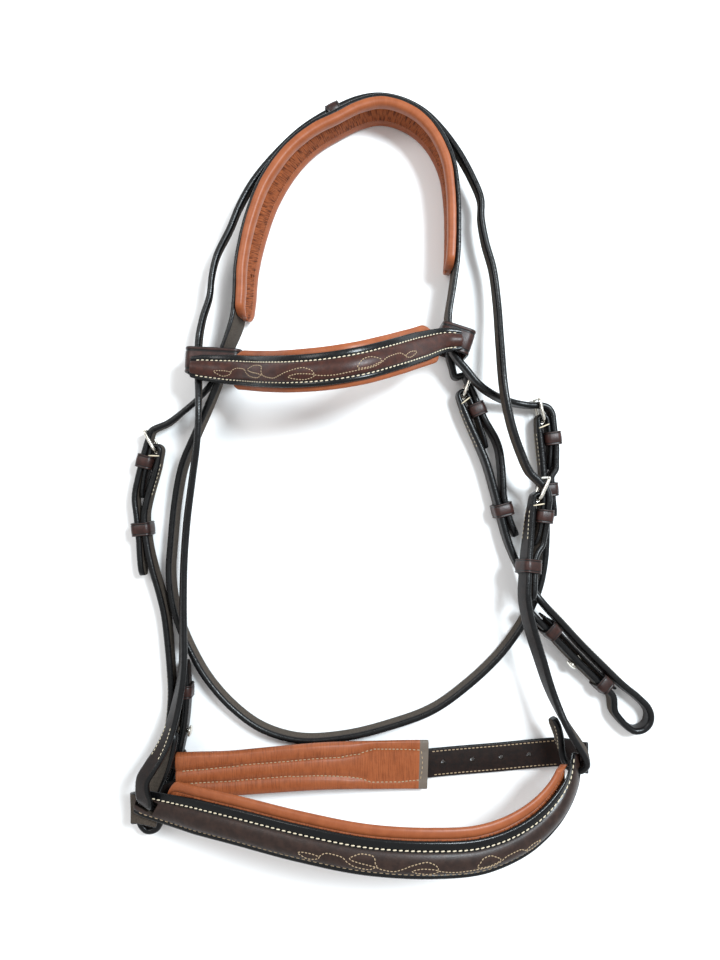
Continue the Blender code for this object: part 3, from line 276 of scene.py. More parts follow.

# Pads: rolls along the edges, gathers that also deepen the painted crease shade, and puffs between
# the stitch rows
NOSEBAND_ROLL_SHIFT = 0.0016
PAD_RIPPLE = 0.03
RIPPLE_LENGTHS = (0.0071, 0.0023)
PAD_GATHER = 0.35
ROLL_WIDTH_SHARE = 0.24
ROLL_GATHER = 0.08
ROLL_STEPS = 14
ROLL_START_DEGREES = -125
ROLL_SWEEP_DEGREES = 290
FACE_START_ROLLS = 2.2
FACE_HEIGHT_SHARE = 0.5
GATHERED_WITHIN = 0.57
PUFF_STEPS = 9
PUFF_POWER = 0.55
PUFF_GROOVE_SHARE = 0.1
PUFF_EDGE_SHARE = -0.5
PUFF_MIDDLE_RISE = 0.75
PUFF_UNDER_SHARES = (-0.96, -0.4, 0.4, 0.96)
LEAST_PUFF = 0.25
CROWN_PAD_SHARES = [
    (1, -0.6), (1, -0.1), (0.985, 0.35), (0.95, 0.62), (0.9, 0.82), (0.83, 0.95), (0.74, 1),
    (0.65, 0.95), (0.57, 0.8), (0.5, 0.58), (0.455, 0.36), (0.43, 0.2), (0.4, 0.3), (0.34, 0.42),
    (0.2, 0.5), (0, 0.52), (-0.2, 0.5), (-0.4, 0.42), (-0.52, 0.3), (-0.56, 0.16), (-0.6, 0.3),
    (-0.68, 0.5), (-0.78, 0.6), (-0.88, 0.56), (-0.95, 0.35), (-0.99, 0), (-1, -0.4),
]
CROWN_PAD_UNDER_SHARES = (-0.97, -0.5, 0, 0.5, 0.97)
CROWN_PAD_HOLE_PIXELS = [(252, 277), (444, 234)]
CROWN_PAD_HOLE_RADIUS = 0.0019

# Shine and colours of the finishes
LEATHER_GLOSS = 0.28
SOFT_GLOSS = 0.26
GATHERED_GLOSS = 0.05
GATHERED_ROUGHNESS = 0.7
SUEDE_ROUGHNESS = 0.9
SUEDE_SHADE = 0.45
WORN_METAL_SHADE = 0.86
GATHER_SCALE = (1250, 1.3, 0)
EDGE_PAINT = (0.0028, 0.003, 0.0034)
PALE_FLESH = (0.06, 0.04, 0.03)

# Camera, floor and light; a lamp has a name, place, size, power and colour
LENS_PIXELS = 721
IMAGE_PIXELS = 960
SENSOR_HEIGHT = 36
CLIP_START = 0.01
FLOOR_REACH = 3
FLOOR_ROUGHNESS = 0.85
FLOOR_COLOUR = (0.9, 0.9, 0.9, 1)
WORLD_STRENGTH = 0.72
LAMPS = [
    ("key", (0.55, 0.4, 1.1), 0.32, 25, (0.84, 0.94, 1)),
    ("fill", (-0.7, 0.5, 1), 0.5, 5, (1, 1, 1)),
]

# Routes: column, row, height in strap widths and lean in quarter turns, left out if unchanged
CROWN_ROUTE_SHARES = [
    (226, 352, 1.5, 0.06), (237, 321.8, 1.5, 0.08), (240.2, 298.4, 1.5, 0.1),
    (242.2, 269.4, 1.5, 0.12), (250.9, 228.9, 1.5, 0.14), (265.3, 190.2), (287.6, 156.4, 1.5, 0.1),
    (311.7, 134.2, 1.5, 0.04), (333.9, 121.6, 1.5, 0), (357.1, 110.1), (379.3, 105.2),
    (400.6, 109.1), (421.8, 120.7), (438.2, 139), (450.8, 166.1), (455.6, 198), (456.6, 233.7),
    (455.6, 262.7), (451.8, 291.6), (447.7, 319.3), (449, 344),
]
CROWN_PAD_SPAN_SHARES = (0.06, 0.88)
LEFT_CHEEK_BILLET_SHARES = [
    (228.2, 355.2, 0.77, 0), (223, 367, 0.77, 0.05), (213, 382, 0.77, 0.1), (198, 399, 0.77, 0.15),
    (183, 412), (169, 423, 0.77, 0.05),
]
RIGHT_CHEEK_BILLET_SHARES = [
    (447.5, 347.3, 0.77, 0), (449, 357), (452, 368), (455, 377),
]
THROAT_BILLET_SHARES = [
    (450.1, 344.6, 2.04, 0), (451.5, 350), (457, 359, 2.08), (465.5, 369, 2.14), (478, 384, 2.05),
    (494, 395.5, 1.45, 0.03), (511, 402.5, 0.92, 0.04), (524, 405, 0.79, 0),
]
THROATLATCH_SHARES = [
    (537.1, 421.3, 0.79, 0), (541, 456, 0.73), (543, 480), (545, 510, 0.66, 0.01),
    (545, 535, 0.56, 0.03), (543, 562, 0.54, 0.06), (537, 590), (522, 622), (498, 655), (465, 686),
    (432, 709), (392, 724), (345, 735.5, 0.54, 0.04), (299, 738, 0.54, 0.06), (262, 727),
    (233, 706), (209, 679), (193, 652), (181, 625, 0.54, 0.08), (174, 600, 0.54, 0.1), (171, 572),
    (173, 540), (177, 500, 0.6), (184, 465, 0.8), (196, 436, 1.2, 0.08), (208, 409, 1.6, 0.05),
    (219, 382, 1.9, 0), (224.3, 362, 2.04), (224.8, 351.5),
]
HEADSTRAP_SHARES = [
    (174, 731, 1.8, 0.5), (171, 741, 1.8, 0.54), (168, 754, 1.78, 0.58), (163, 769, 1.68, 0.66),
    (156.5, 782, 1.6, 0.82), (150, 795, 1.6, 0.95), (147.2, 801.5, 1.7), (146.4, 803.6, 1.95, 0.5),
    (146.1, 804.3, 2.3, 0), (145.6, 803.4, 2.62, -0.5), (144.3, 799.5, 2.86, -0.85),
    (142.5, 791, 3.02, -0.66), (143, 780, 3.02, -0.6), (150, 768, 2.92, -0.58),
    (159, 754, 2.66, -0.54), (166, 740, 2.4, -0.48), (172, 723, 2.15, -0.42),
    (177, 703, 1.96, -0.36), (181, 682, 1.88, -0.3), (183, 661, 1.82, -0.28),
    (183, 630, 1.7, -0.26), (183, 600, 1.62, -0.24), (184, 560, 1.62, -0.22), (187, 520, 1.72),
    (192, 480, 2.05, -0.2), (197, 440, 2.45, -0.18), (198.5, 405, 2.5, -0.12),
    (198.5, 372, 2, -0.04), (199, 340, 1.5), (202.8, 318.9, 1.45, -0.08),
    (209.5, 296.8, 1.45, -0.12), (211.7, 277.4), (216.7, 256.6, 1.45, -0.1),
    (230, 229.5, 1.45, -0.08), (239, 208, 1.45, -0.06), (253.5, 182.5, 1.45, -0.04),
    (278, 153.5, 1.45, -0.02), (303.8, 130.1, 1.45, 0), (334.7, 111.4), (358.4, 101.4),
    (379.1, 98.4), (401, 102.4), (422.7, 113.3), (440.5, 130.2), (458.3, 154),
    (472.4, 179.5, 1.45, -0.02), (480.6, 200.3), (480.9, 219, 1.45, 0), (485, 242.8, 1.45, 0.02),
    (492.4, 269.5, 1.5, 0.03), (496.8, 302.5, 1.65, 0.04), (500, 345, 2.1, 0.06), (504, 390, 2.6),
    (511, 425, 2.55), (520, 452, 2.34), (529, 472, 2.24, 0.05),
]
LEFT_CHEEK_SHARES = [
    (161.7, 451.7, 0.8, 0), (156, 474, 0.79), (150, 495, 0.78, -0.02), (146, 515, 0.78, -0.03),
    (148.5, 543, 0.76, -0.04), (154.5, 570, 0.74, -0.06), (161, 592, 0.66, -0.08),
    (166, 614, 0.58, -0.06), (169, 640, 0.58, -0.03), (171, 664, 0.64, 0), (172.5, 690, 0.66),
    (171, 715), (167, 740), (161, 763, 0.64), (152, 786, 0.54), (143, 805, 0.53), (141, 819),
    (148, 828), (158, 826), (164, 813), (167, 797),
]
RIGHT_CHEEK_SHARES = [
    (458.4, 397.8, 0.79, 0), (470, 426, 0.79, 0.03), (478, 444, 0.76, 0.06), (486, 464, 0.78),
    (493.5, 490, 0.8, 0.05), (500, 515), (507, 540, 0.82, 0.03), (516, 562, 0.94, 0),
    (526, 580, 1.25), (536, 595, 1.6), (546, 607, 1.62, 0.02), (559, 621, 1.32, 0.06),
    (577, 641, 0.86, 0.1), (600, 664, 0.66), (622, 685, 0.6, 0.08), (637, 697, 0.58, 0.06),
    (648, 710, 0.58, 0.04), (647, 723, 0.58, 0), (636, 730), (624, 724), (613, 710, 0.6, -0.02),
]
HANGER_SHARES = [
    (532.4, 498.1, 2.24, 0.03), (530, 520, 2.26, 0.1), (528, 540, 2.32, 0.19),
    (526, 560, 2.46, 0.25), (525, 580, 2.65, 0.28), (524.5, 598, 2.75), (528, 618, 2.7),
    (534, 640, 2.6), (541, 662, 2.5, 0.26), (548, 684, 2.5, 0.18), (557, 706, 2.65, 0.05),
    (567, 726, 2.9, -0.1), (577, 742, 2.95, -0.2), (584, 753, 2.85), (586.5, 761, 2.7, -0.12),
    (583, 767, 2.5, 0), (576, 767.5, 2.25, 0.1), (567.5, 763, 1.88, 0.15), (562.5, 753.5, 1.64),
    (560.5, 744, 1.62, 0.05), (558, 733, 1.7, -0.1), (553, 718, 1.85, -0.22),
]
BROWBAND_SHARES = [
    (190, 365, 0, 1), (216, 367, 0.02), (240, 368.5, 0.7), (262, 369.5, 2.45), (290, 369.5, 3.85),
    (325, 367, 4.45), (362, 361, 4.35), (398, 351.5, 3.25), (425, 343.5, 1.45), (447, 338, 0.2),
    (462, 338, 0.01),
]
NOSEBAND_SHARES = [
    (135.5, 798.5, 2.3, 1), (160, 805, 2.62), (193, 814, 3.5), (233, 824, 4.45), (299, 841, 5.55),
    (365, 854, 6.1), (432, 858, 6.15), (485, 854, 5.7, 0.95), (528, 836, 4.85, 0.84),
    (557, 810, 3.95, 0.67), (572.5, 782, 3.25, 0.5), (576.5, 753, 2.85, 0.36),
]
CHIN_STRAP_SHARES = [
    (326, 773, 1.06, 1), (308, 774.5), (288, 775, 1.04), (262, 775, 1), (232, 778, 1.04),
    (205, 784, 1.16), (180, 793, 1.2), (158, 802, 1.22), (141, 806.5, 1.24), (132.5, 808, 1.5, 0),
    (138.5, 808.5, 1.9, -1), (149, 810.5, 1.97), (159, 813, 2.02),
]
CHIN_BILLET_SHARES = [
    (588, 758, 1.5, 0.6), (581, 757, 1.15, 0.78), (570, 754, 0.78, 0.92), (558, 752, 0.52, 1),
    (541, 753, 0.38), (498, 757, 0.3), (450, 761), (410, 765, 0.38), (380, 768, 0.62),
]

# Buckles: places of keeper, tail end, runner and billet end, the billet's side, frame angle
BUCKLE_PIXELS = {
    "left_cheek": [(143.5, 461), (143, 498), (143, 528.5), (140, 576)],
    "right_cheek": [(478.5, 409), (487, 448), (503.5, 509.7), (517, 536)],
    "throat": [(552, 438), (549, 470), (552.5, 489), (551.5, 517)],
    "noseband": [(541, 516), (531, 545), (526, 566), (528.4, 601)],
    "chin": [(308, 774.5), (280, 775), (262, 775), (236, 777.5)],
}
BILLET_SIDES = {"left_cheek": 1, "right_cheek": -1, "throat": -1, "noseband": -1, "chin": -1}
FRAME_ANGLES = {
    "left_cheek": math.radians(42), "right_cheek": math.radians(42),
    "throat": math.radians(-7), "noseband": math.radians(17.5), "chin": math.radians(10),
}
# How a billet comes in through its frame: out from the bar and ahead of it, in frame lengths
ENTRY_SHARES = {
    "left_cheek": [(0.405, 0.8), (0.442, 0.38), (0.463, 0)],
    "right_cheek": [(0.405, 0.8), (0.442, 0.38), (0.463, 0)],
    "throat": [(-0.35, 0.72), (-0.05, 0.7), (0.29, 0.56), (0.45, 0.27), (0.463, 0)],
    "noseband": [(-0.17, 0.86), (0.12, 0.64), (0.36, 0.37), (0.463, 0)],
    "chin": [(0, 1.15), (0.05, 0.78), (0.22, 0.43), (0.35, 0.15), (0.365, -0.05)],
}
# How far a billet stands off its strap, at the tail's end and at its own end, in strap widths
BULGE_SHARES = {
    "left_cheek": (0.12, 0.3), "right_cheek": (0.42, 0.16), "throat": (0.06, 0.06),
    "noseband": (0.1, 0.06), "chin": (0.12, 0.02),
}

# The bit ends of the cheekpieces: upper and lower keeper, stud and tip of the hook billet
BIT_SIDES = {"left": -1, "right": 1}
BIT_END_PIXELS = {
    "left": [(184, 690), (173, 757), (182, 730), (183, 660)],
    "right": [(548.4, 629), (599, 685), (571, 663), (530, 604)],
}
HOOK_RETURN = 0.011
HOOK_STEPS = 9
LINING_ABOVE = 0.013
LINING_BELOW = 0.009

# The crown keeper, the browband's loops, the chin billet's holes, slots and the pads' spans
CROWN_KEEPER_PIXELS = (333.5, 112)
LOOP_PIXELS = {"left": (217, 364), "right": (453.2, 342)}
LOOP_WIDTHS = {"left": 0.0385, "right": 0.0225}
LOOP_HEIGHT = 0.0344
LOOP_FLOOR = 0.003
BROWBAND_FLOOR = LOOP_FLOOR + LOOP_HEIGHT + LOOP_THICKNESS + SEAM_GAP + BROWBAND_THICKNESS / 2
LOOP_ANGLES = {"left": math.radians(-3), "right": math.radians(-18)}
CHIN_HOLE_PIXELS = [(443, 758), (472, 755), (501, 753), (529, 752)]
HEADSTRAP_SLOT_PIXELS = (146.1, 804.2)
HANGER_SLOT_PIXELS = (580, 767.5)
NOTCH_SIZES = (0.018, 0.032, 0.026)
CHIN_SLOT_DROP = 0.006
BROWBAND_PAD_SPAN_SHARES = (0.12, 0.925)
NOSEBAND_PAD_SPAN_SHARES = (0.062, 0.975)
BAND_END_THICKNESS = 0.0034
BAND_RISE_SHARES = (0.06, 0.11, 0.89, 0.95)
CHIN_PAD_ROUTE_SHARES = [
    (176, 775, 1.56, 1), (205, 774.5, 1.58), (230, 774), (262, 771.5, 1.6), (292, 769),
    (320, 767, 1.55), (345, 766, 1.36), (375, 765.5, 1.06), (405, 765, 0.8), (428, 765, 0.68),
]


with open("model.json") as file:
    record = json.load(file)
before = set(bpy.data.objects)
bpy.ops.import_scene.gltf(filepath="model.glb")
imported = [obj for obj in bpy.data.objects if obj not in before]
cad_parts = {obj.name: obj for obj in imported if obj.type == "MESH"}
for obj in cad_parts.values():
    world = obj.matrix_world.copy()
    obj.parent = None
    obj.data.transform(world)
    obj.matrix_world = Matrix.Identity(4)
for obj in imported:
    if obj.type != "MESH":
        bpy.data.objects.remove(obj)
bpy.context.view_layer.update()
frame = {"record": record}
BODY_OF = {
    node: body for body, nodes in frame["record"]["behaviour"]["bodies"].items() for node in nodes
}


def shader(name, roughness, metallic=0, gloss=0.5):
    """A material's node tree with its main shader."""
    made = bpy.data.materials.new(name)
    made.use_nodes = True
    tree = made.node_tree
    main = tree.nodes["Principled BSDF"]
    main.inputs["Roughness"].default_value = roughness
    main.inputs["Metallic"].default_value = metallic
    main.inputs["Specular IOR Level"].default_value = gloss
    return made, tree, main


def node(tree, kind, links=None, **settings):
    """A shader node; settings name its options or inputs, links name the sockets that feed it."""
    made = tree.nodes.new("ShaderNode" + kind)
    for key, value in settings.items():
        if hasattr(made, key):
            setattr(made, key, value)
        else:
            made.inputs[key.replace("_", " ")].default_value = value
    for key, socket in (links or {}).items():
        tree.links.new(socket, made.inputs[key])
    return made


def noise(tree, scale, detail=4, place=None, roughness=0.6):
    """Cloudy pattern, so many clouds to a metre, in object coordinates or in given ones."""
    place = place or node(tree, "TexCoord").outputs["Object"]
    settings = {"Scale": scale, "Detail": detail, "Roughness": roughness}
    return node(tree, "TexNoise", {"Vector": place}, **settings).outputs[0]


def stepped(tree, value, low, high, to_low=0, to_high=1):
    """A value spread smoothly between two limits."""
    made = node(
        tree, "MapRange", {"Value": value}, interpolation_type="SMOOTHSTEP", From_Min=low,
        From_Max=high, To_Min=to_low, To_Max=to_high,
    )
    return made.outputs["Result"]


def blend(tree, share, first, second):
    """A colour between two, each a colour or a socket."""
    made = node(tree, "Mix", {0: share}, data_type="RGBA")
    for index, colour in ((6, first), (7, second)):
        if isinstance(colour, tuple):
            made.inputs[index].default_value = (*colour, 1)
        else:
            tree.links.new(colour, made.inputs[index])
    return made.outputs[2]


def mixed(tree, share, first, second):
    """A number between two, each a number or a socket."""
    made = node(tree, "Mix", {0: share}, data_type="FLOAT")
    for index, value in ((2, first), (3, second)):
        if isinstance(value, float):
            made.inputs[index].default_value = value
        else:
            tree.links.new(value, made.inputs[index])
    return made.outputs[0]


def bumped(tree, main, heights):
    """Feeds bumps into a shader; each height has a strength and a depth in metres."""
    last = None
    for height, strength, depth in heights:
        made = node(tree, "Bump", {"Height": height}, Strength=strength, Distance=depth)
        if last:
            tree.links.new(last, made.inputs["Normal"])
        last = made.outputs["Normal"]
    tree.links.new(last, main.inputs["Normal"])


def lanes(tree):
    """The lane, and its parts: distance along the strap, share across it, and kind."""
    lane = node(tree, "Attribute", attribute_name="lane")
    parts = node(tree, "SeparateXYZ", {"Vector": lane.outputs["Vector"]})
    return lane.outputs["Vector"], parts.outputs


def leather(name, face, dark, flesh, edge, shine, edge_shine, pores=0.4):
    """Leather with a grained face, a suede back and painted edges, which a lane tells apart."""
    made, tree, main = shader(name, shine[0], gloss=LEATHER_GLOSS)
    _, lane = lanes(tree)
    cloud = noise(tree, 210, 5)
    fine = noise(tree, 1500, 3)
    fuzz = noise(tree, 1100, 6, roughness=0.8)
    mottled = blend(tree, stepped(tree, cloud, 0.35, 0.68), dark, face)
    shaded = tuple(c * SUEDE_SHADE for c in flesh)
    suede = blend(tree, stepped(tree, fuzz, 0.38, 0.62), shaded, flesh)
    ruffled = stepped(tree, noise(tree, 420, 4), 0.2, 0.8, -0.22, 0.22)
    worn = node(tree, "Math", {0: lane["Z"], 1: ruffled}, operation="ADD").outputs[0]
    edged = stepped(tree, worn, 0.35, 0.7)
    fleshy = stepped(tree, worn, -0.7, -0.35, 1, 0)
    skins = blend(tree, fleshy, mottled, suede)
    tree.links.new(blend(tree, edged, skins, edge), main.inputs["Base Color"])
    dull = mixed(tree, fleshy, stepped(tree, fine, 0.3, 0.7, *shine), SUEDE_ROUGHNESS)
    gloss = mixed(tree, edged, dull, stepped(tree, cloud, 0.3, 0.7, *edge_shine))
    tree.links.new(gloss, main.inputs["Roughness"])
    place = node(tree, "TexCoord").outputs["Object"]
    cells = node(tree, "TexVoronoi", {"Vector": place}, Scale=1150, Randomness=0.9)
    grain = (cells.outputs["Distance"], pores, 0.00014)
    bumped(tree, main, [grain, (fuzz, pores, 0.0001), (cloud, 0.3, 0.0003)])
    return made


def soft_leather(name, face, dark, light, crease_shade_colour, raw, shine):
    """Smooth padded leather with fine gathers across it, which a lane strengthens, painted shade in
    their creases and a painted highlight on their ridges.
    """
    made, tree, main = shader(name, shine[0], gloss=SOFT_GLOSS)
    vector, lane = lanes(tree)
    stretched = node(tree, "VectorMath", {0: vector}, operation="MULTIPLY")
    stretched.inputs[1].default_value = GATHER_SCALE
    gathers = noise(tree, 1, 4, stretched.outputs[0])
    cloud = noise(tree, 120, 4)
    fine = noise(tree, 1900, 2)
    base = blend(tree, stepped(tree, cloud, 0.3, 0.72), dark, face)
    # Painted highlight: the ridges of the gathers are lightened towards the light colour.
    lit = blend(tree, stepped(tree, gathers, 0.52, 0.75, 0, 0.2), base, light)
    # Painted shade: the creases between the gathers are darkened, more where the lane says the
    # leather is gathered.
    depth = stepped(tree, gathers, 0.36, 0.54, 1, 0)
    crease = node(tree, "Math", {0: depth, 1: lane["Z"]}, operation="MULTIPLY", use_clamp=True)
    crease_shaded = blend(tree, crease.outputs[0], lit, crease_shade_colour)
    bare = stepped(tree, lane["Z"], -0.7, -0.3, 1, 0)
    tree.links.new(blend(tree, bare, crease_shaded, raw), main.inputs["Base Color"])
    gathered = stepped(tree, lane["Z"], 0.4, 0.95)
    dull = mixed(tree, gathered, stepped(tree, fine, 0.3, 0.7, *shine), GATHERED_ROUGHNESS)
    tree.links.new(dull, main.inputs["Roughness"])
    gloss = mixed(tree, gathered, SOFT_GLOSS, GATHERED_GLOSS)
    tree.links.new(gloss, main.inputs["Specular IOR Level"])
    raised = node(tree, "Math", {0: gathers, 1: lane["Z"]}, operation="MULTIPLY").outputs[0]
    bumped(tree, main, [(fine, 0.2, 0.0001), (raised, 0.7, 0.0009), (cloud, 0.3, 0.0005)])
    return made


def metal(name, colour, shine):
    """Plated metal, a little worn in clouds."""
    made, tree, main = shader(name, shine[0], 1)
    cloud = noise(tree, 260, 3)
    worn = tuple(c * WORN_METAL_SHADE for c in colour)
    tint = blend(tree, stepped(tree, cloud, 0.3, 0.7), colour, worn)
    tree.links.new(tint, main.inputs["Base Color"])
    tree.links.new(stepped(tree, cloud, 0.3, 0.75, *shine), main.inputs["Roughness"])
    bumped(tree, main, [(noise(tree, 900, 2), 0.06, 0.00005)])
    return made


def waxed_thread(name, colour, dark):
    """Twisted thread, darker in places."""
    made, tree, main = shader(name, 0.7)
    fine = noise(tree, 2600, 3)
    tint = blend(tree, stepped(tree, fine, 0.3, 0.7), dark, colour)
    tree.links.new(tint, main.inputs["Base Color"])
    tree.links.new(stepped(tree, fine, 0.3, 0.7, 0.6, 0.8), main.inputs["Roughness"])
    bumped(tree, main, [(fine, 0.4, 0.0001)])
    return made


FINISHES = {
    "strap": leather(
        "strap_leather", (0.012, 0.006, 0.0045), (0.006, 0.0035, 0.003), (0.07, 0.054, 0.041),
        EDGE_PAINT, (0.4, 0.52), (0.24, 0.36),
    ),
    "keeper": leather(
        "keeper_leather", (0.036, 0.0125, 0.0095), (0.019, 0.0075, 0.006), PALE_FLESH,
        (0.004, 0.003, 0.003), (0.34, 0.46), (0.3, 0.42), 0.3,
    ),
    "noseband": leather(
        "noseband_leather", (0.03, 0.0155, 0.0115), (0.017, 0.009, 0.007), PALE_FLESH,
        EDGE_PAINT, (0.34, 0.48), (0.2, 0.3), 0.25,
    ),
    "browband": leather(
        "browband_leather", (0.05, 0.0145, 0.009), (0.027, 0.0085, 0.006), PALE_FLESH,
        EDGE_PAINT, (0.34, 0.48), (0.22, 0.34), 0.25,
    ),
    # Tan: face and cloud tone, a painted highlight for the gathers' ridges, painted shade for their
    # creases, and the raw edge's colour.
    "tan": soft_leather(
        "tan_leather", (0.27, 0.077, 0.027), (0.225, 0.06, 0.02), (0.36, 0.12, 0.05),
        (0.06, 0.015, 0.006), (0.13, 0.105, 0.085), (0.34, 0.46),
    ),
    "nickel": metal("polished_nickel", (0.78, 0.74, 0.66), (0.12, 0.26)),
    "thread": waxed_thread("cream_thread", (0.68, 0.6, 0.45), (0.46, 0.38, 0.26)),
    "dull_thread": waxed_thread("old_thread", (0.4, 0.3, 0.19), (0.25, 0.17, 0.1)),
    "tan_thread": waxed_thread("tan_thread", (0.4, 0.16, 0.08), (0.24, 0.08, 0.035)),
}


class Leather:
    """Thicknesses of a buckled strap, and how far apart its layers lie."""

    def __init__(self, width, strap_thickness, turn, tail, billet):
        self.width = width
        self.strap = strap_thickness
        self.turn = turn
        self.tail = tail
        self.billet = billet
        self.turn_radius = WIRE_RADIUS + BAR_GAP + turn / 2
        self.billet_offset = 2 * self.turn_radius + turn / 2 + SEAM_GAP + billet / 2
        self.closed_offset = strap_thickness / 2 + LAYER_GAP + billet / 2
        self.tail_offset = strap_thickness / 2 + SEAM_GAP + tail / 2
        self.over_tail_offset = self.tail_offset + tail / 2 + LAYER_GAP + billet / 2


NARROW = Leather(STRAP_WIDTH, STRAP_THICKNESS, TURN_THICKNESS, TAIL_THICKNESS, BILLET_THICKNESS)
BROAD = Leather(
    CHIN_WIDTH, CHIN_THICKNESS, CHIN_TURN_THICKNESS, CHIN_TAIL_THICKNESS, CHIN_BILLET_THICKNESS
)


def unit(vector):
    """A direction of length one."""
    return vector / np.linalg.norm(vector)


def seen_from_above(column, row, height):
    """The point at a height that the viewpoint sees at a column and a row."""
    scale = PIXEL * (1 - height / EYE_HEIGHT)
    x = (column - MIDDLE_COLUMN_PIXELS) * scale - CENTRE_X
    y = (MIDDLE_ROW_PIXELS - row) * scale - CENTRE_Y
    return np.array([x, y, height])


def whole_rows(route):
    """The rows of a route, each with its own height and lean."""
    rows = []
    for row in route:
        rows.append((*row, *rows[-1][len(row):]) if rows else row)
    return rows


def route_rows(route, floor=0):
    """Points of a route, each with the direction of the strap's width there."""
    route = whole_rows(route)
    points = [seen_from_above(c, r, floor + h * STRAP_WIDTH) for c, r, h, _ in route]
    last = len(points) - 1
    rows = []
    for i, (_, _, _, lean) in enumerate(route):
        along = unit(points[min(i + 1, last)] - points[max(i - 1, 0)])
        flat = np.array([along[0], along[1], 0])
        if np.linalg.norm(flat) < STEEP_SHARE:
            rows.append([points[i], None])
            continue
        left = np.cross([0, 0, 1], unit(flat))
        angle = lean * math.pi / 2
        rows.append([points[i], math.cos(angle) * np.array([0, 0, 1]) + math.sin(angle) * left])
    known = [i for i, row in enumerate(rows) if row[1] is not None]
    for i, row in enumerate(rows):
        if row[1] is None:
            before = max(k for k in known if k < i)
            after = min(k for k in known if k > i)
            share = (i - before) / (after - before)
            row[1] = unit(rows[before][1] * (1 - share) + rows[after][1] * share)
    return rows


class Path:
    """A smooth centreline through rows, with the strap's directions at every mark."""

    def __init__(self, rows):
        points = np.array([p for p, _ in rows])
        ups = np.array([u for _, u in rows])
        ends = lengthened(points)
        dense, dense_ups, starts = [], [], []
        for i in range(1, len(ends) - 2):
            span = np.linalg.norm(ends[i + 1] - ends[i])
            count = max(2, int(math.ceil(span / DENSE_STEP)))
            starts.append(len(dense))
            for k in range(count):
                t = k / count
                dense.append(curve_point(ends[i - 1 : i + 3], t))
                dense_ups.append(ups[i - 1] * (1 - t) + ups[i] * t)
        dense.append(points[-1])
        dense_ups.append(ups[-1])
        self.points = np.array(dense)
        self.ups = np.array(dense_ups)
        steps = np.linalg.norm(np.diff(self.points, axis=0), axis=1)
        self.marks = np.concatenate([[0], np.cumsum(steps)])
        self.row_marks = [self.marks[i] for i in starts] + [self.marks[-1]]
        self.length = self.marks[-1]
        self.tangents = np.gradient(self.points, self.marks, axis=0)
        self.ups = smoothed(self.ups)

    def place(self, mark):
        """Centre, run, width and side directions at a distance along the path."""
        centre, along, up = (
            np.array([np.interp(mark, self.marks, table[:, k]) for k in range(3)])
            for table in (self.points, self.tangents, self.ups)
        )
        along = unit(along)
        up = unit(up - along * np.dot(up, along))
        if mark < 0:
            centre = centre + along * mark
        if mark > self.length:
            centre = centre + along * (mark - self.length)
        return centre, along, up, np.cross(along, up)


def smoothed(table):
    """A table of directions along a path, averaged over a short reach."""
    count = max(1, int(SMOOTH_REACH / DENSE_STEP))
    weights = np.hanning(2 * count + 1)
    weights = weights / weights.sum()
    padded = np.vstack([np.repeat(table[:1], count, 0), table, np.repeat(table[-1:], count, 0)])
    return np.array([np.convolve(padded[:, k], weights, "valid") for k in range(3)]).T


def lengthened(corners, closed=False):
    """The corners of a curve with one more at each end, which guide its first and last span."""
    first = corners[-2] if closed else 2 * corners[0] - corners[1]
    final = corners[1] if closed else 2 * corners[-1] - corners[-2]
    return np.vstack([first, corners, final])


def curve_point(corners, t):
    """A point on the centripetal curve between the middle two of four corners."""
    a, b, c, d = corners
    knots = [0]
    for p, q in ((a, b), (b, c), (c, d)):
        knots.append(knots[-1] + max(np.linalg.norm(q - p), LEAST_GAP) ** 0.5)
    k0, k1, k2, k3 = knots
    u = k1 + t * (k2 - k1)
    ab = ((k1 - u) * a + (u - k0) * b) / (k1 - k0)
    bc = ((k2 - u) * b + (u - k1) * c) / (k2 - k1)
    cd = ((k3 - u) * c + (u - k2) * d) / (k3 - k2)
    abc = ((k2 - u) * ab + (u - k0) * bc) / (k2 - k0)
    bcd = ((k3 - u) * bc + (u - k1) * cd) / (k3 - k1)
    return ((k2 - u) * abc + (u - k1) * bcd) / (k2 - k1)


def stations(path, start, end):
    """Marks along a path, closer together where it bends."""
    chosen = [start]
    _, along, up, _ = path.place(start)
    mark = start
    while mark + DENSE_STEP < end:
        mark += DENSE_STEP
        _, run, width, _ = path.place(mark)
        bend = math.acos(min(1, np.dot(run, along))) + math.acos(min(1, np.dot(width, up))) / 2
        if mark - chosen[-1] >= LONGEST_STEP or bend >= SHARPEST_TURN:
            chosen.append(mark)
            along, up = run, width
    if end - chosen[-1] < DENSE_STEP and len(chosen) > 1:
        chosen.pop()
    return chosen + [end]


def beside(path, marks, offsets):
    """Rows beside a path, so far out along its side."""
    rows = []
    for mark, offset in zip(marks, offsets):
        centre, _, up, side = path.place(mark)
        rows.append([centre + side * offset, up])
    return rows


def nearest_mark(path, column, row):
    """The distance along a path at which it passes closest to a place in the reference."""
    gaps = [
        np.linalg.norm((p - seen_from_above(column, row, p[2]))[:2]) for p in path.points
    ]
    return path.marks[int(np.argmin(gaps))]


def rounded_section(radius_a, radius_b, steps=5):
    """Outline of a strap with rounded edges: share of width, share of thickness, kind."""
    corners = ((1, 1, False), (-1, 1, True), (-1, -1, False), (1, -1, True))
    points = []
    for side_a, side_b, backward in corners:
        for k in range(steps + 1):
            share = 1 - k / steps if backward else k / steps
            a = 1 - radius_a + radius_a * math.cos(share * math.pi / 2)
            b = 1 - radius_b + radius_b * math.sin(share * math.pi / 2)
            edge = np.interp(a, [1 - radius_a, 1 - radius_a / 2], [0, 1])
            points.append((side_a * a, side_b * b, edge))
        if not backward:
            points.append((0, side_b, 0))
    return np.array(points)


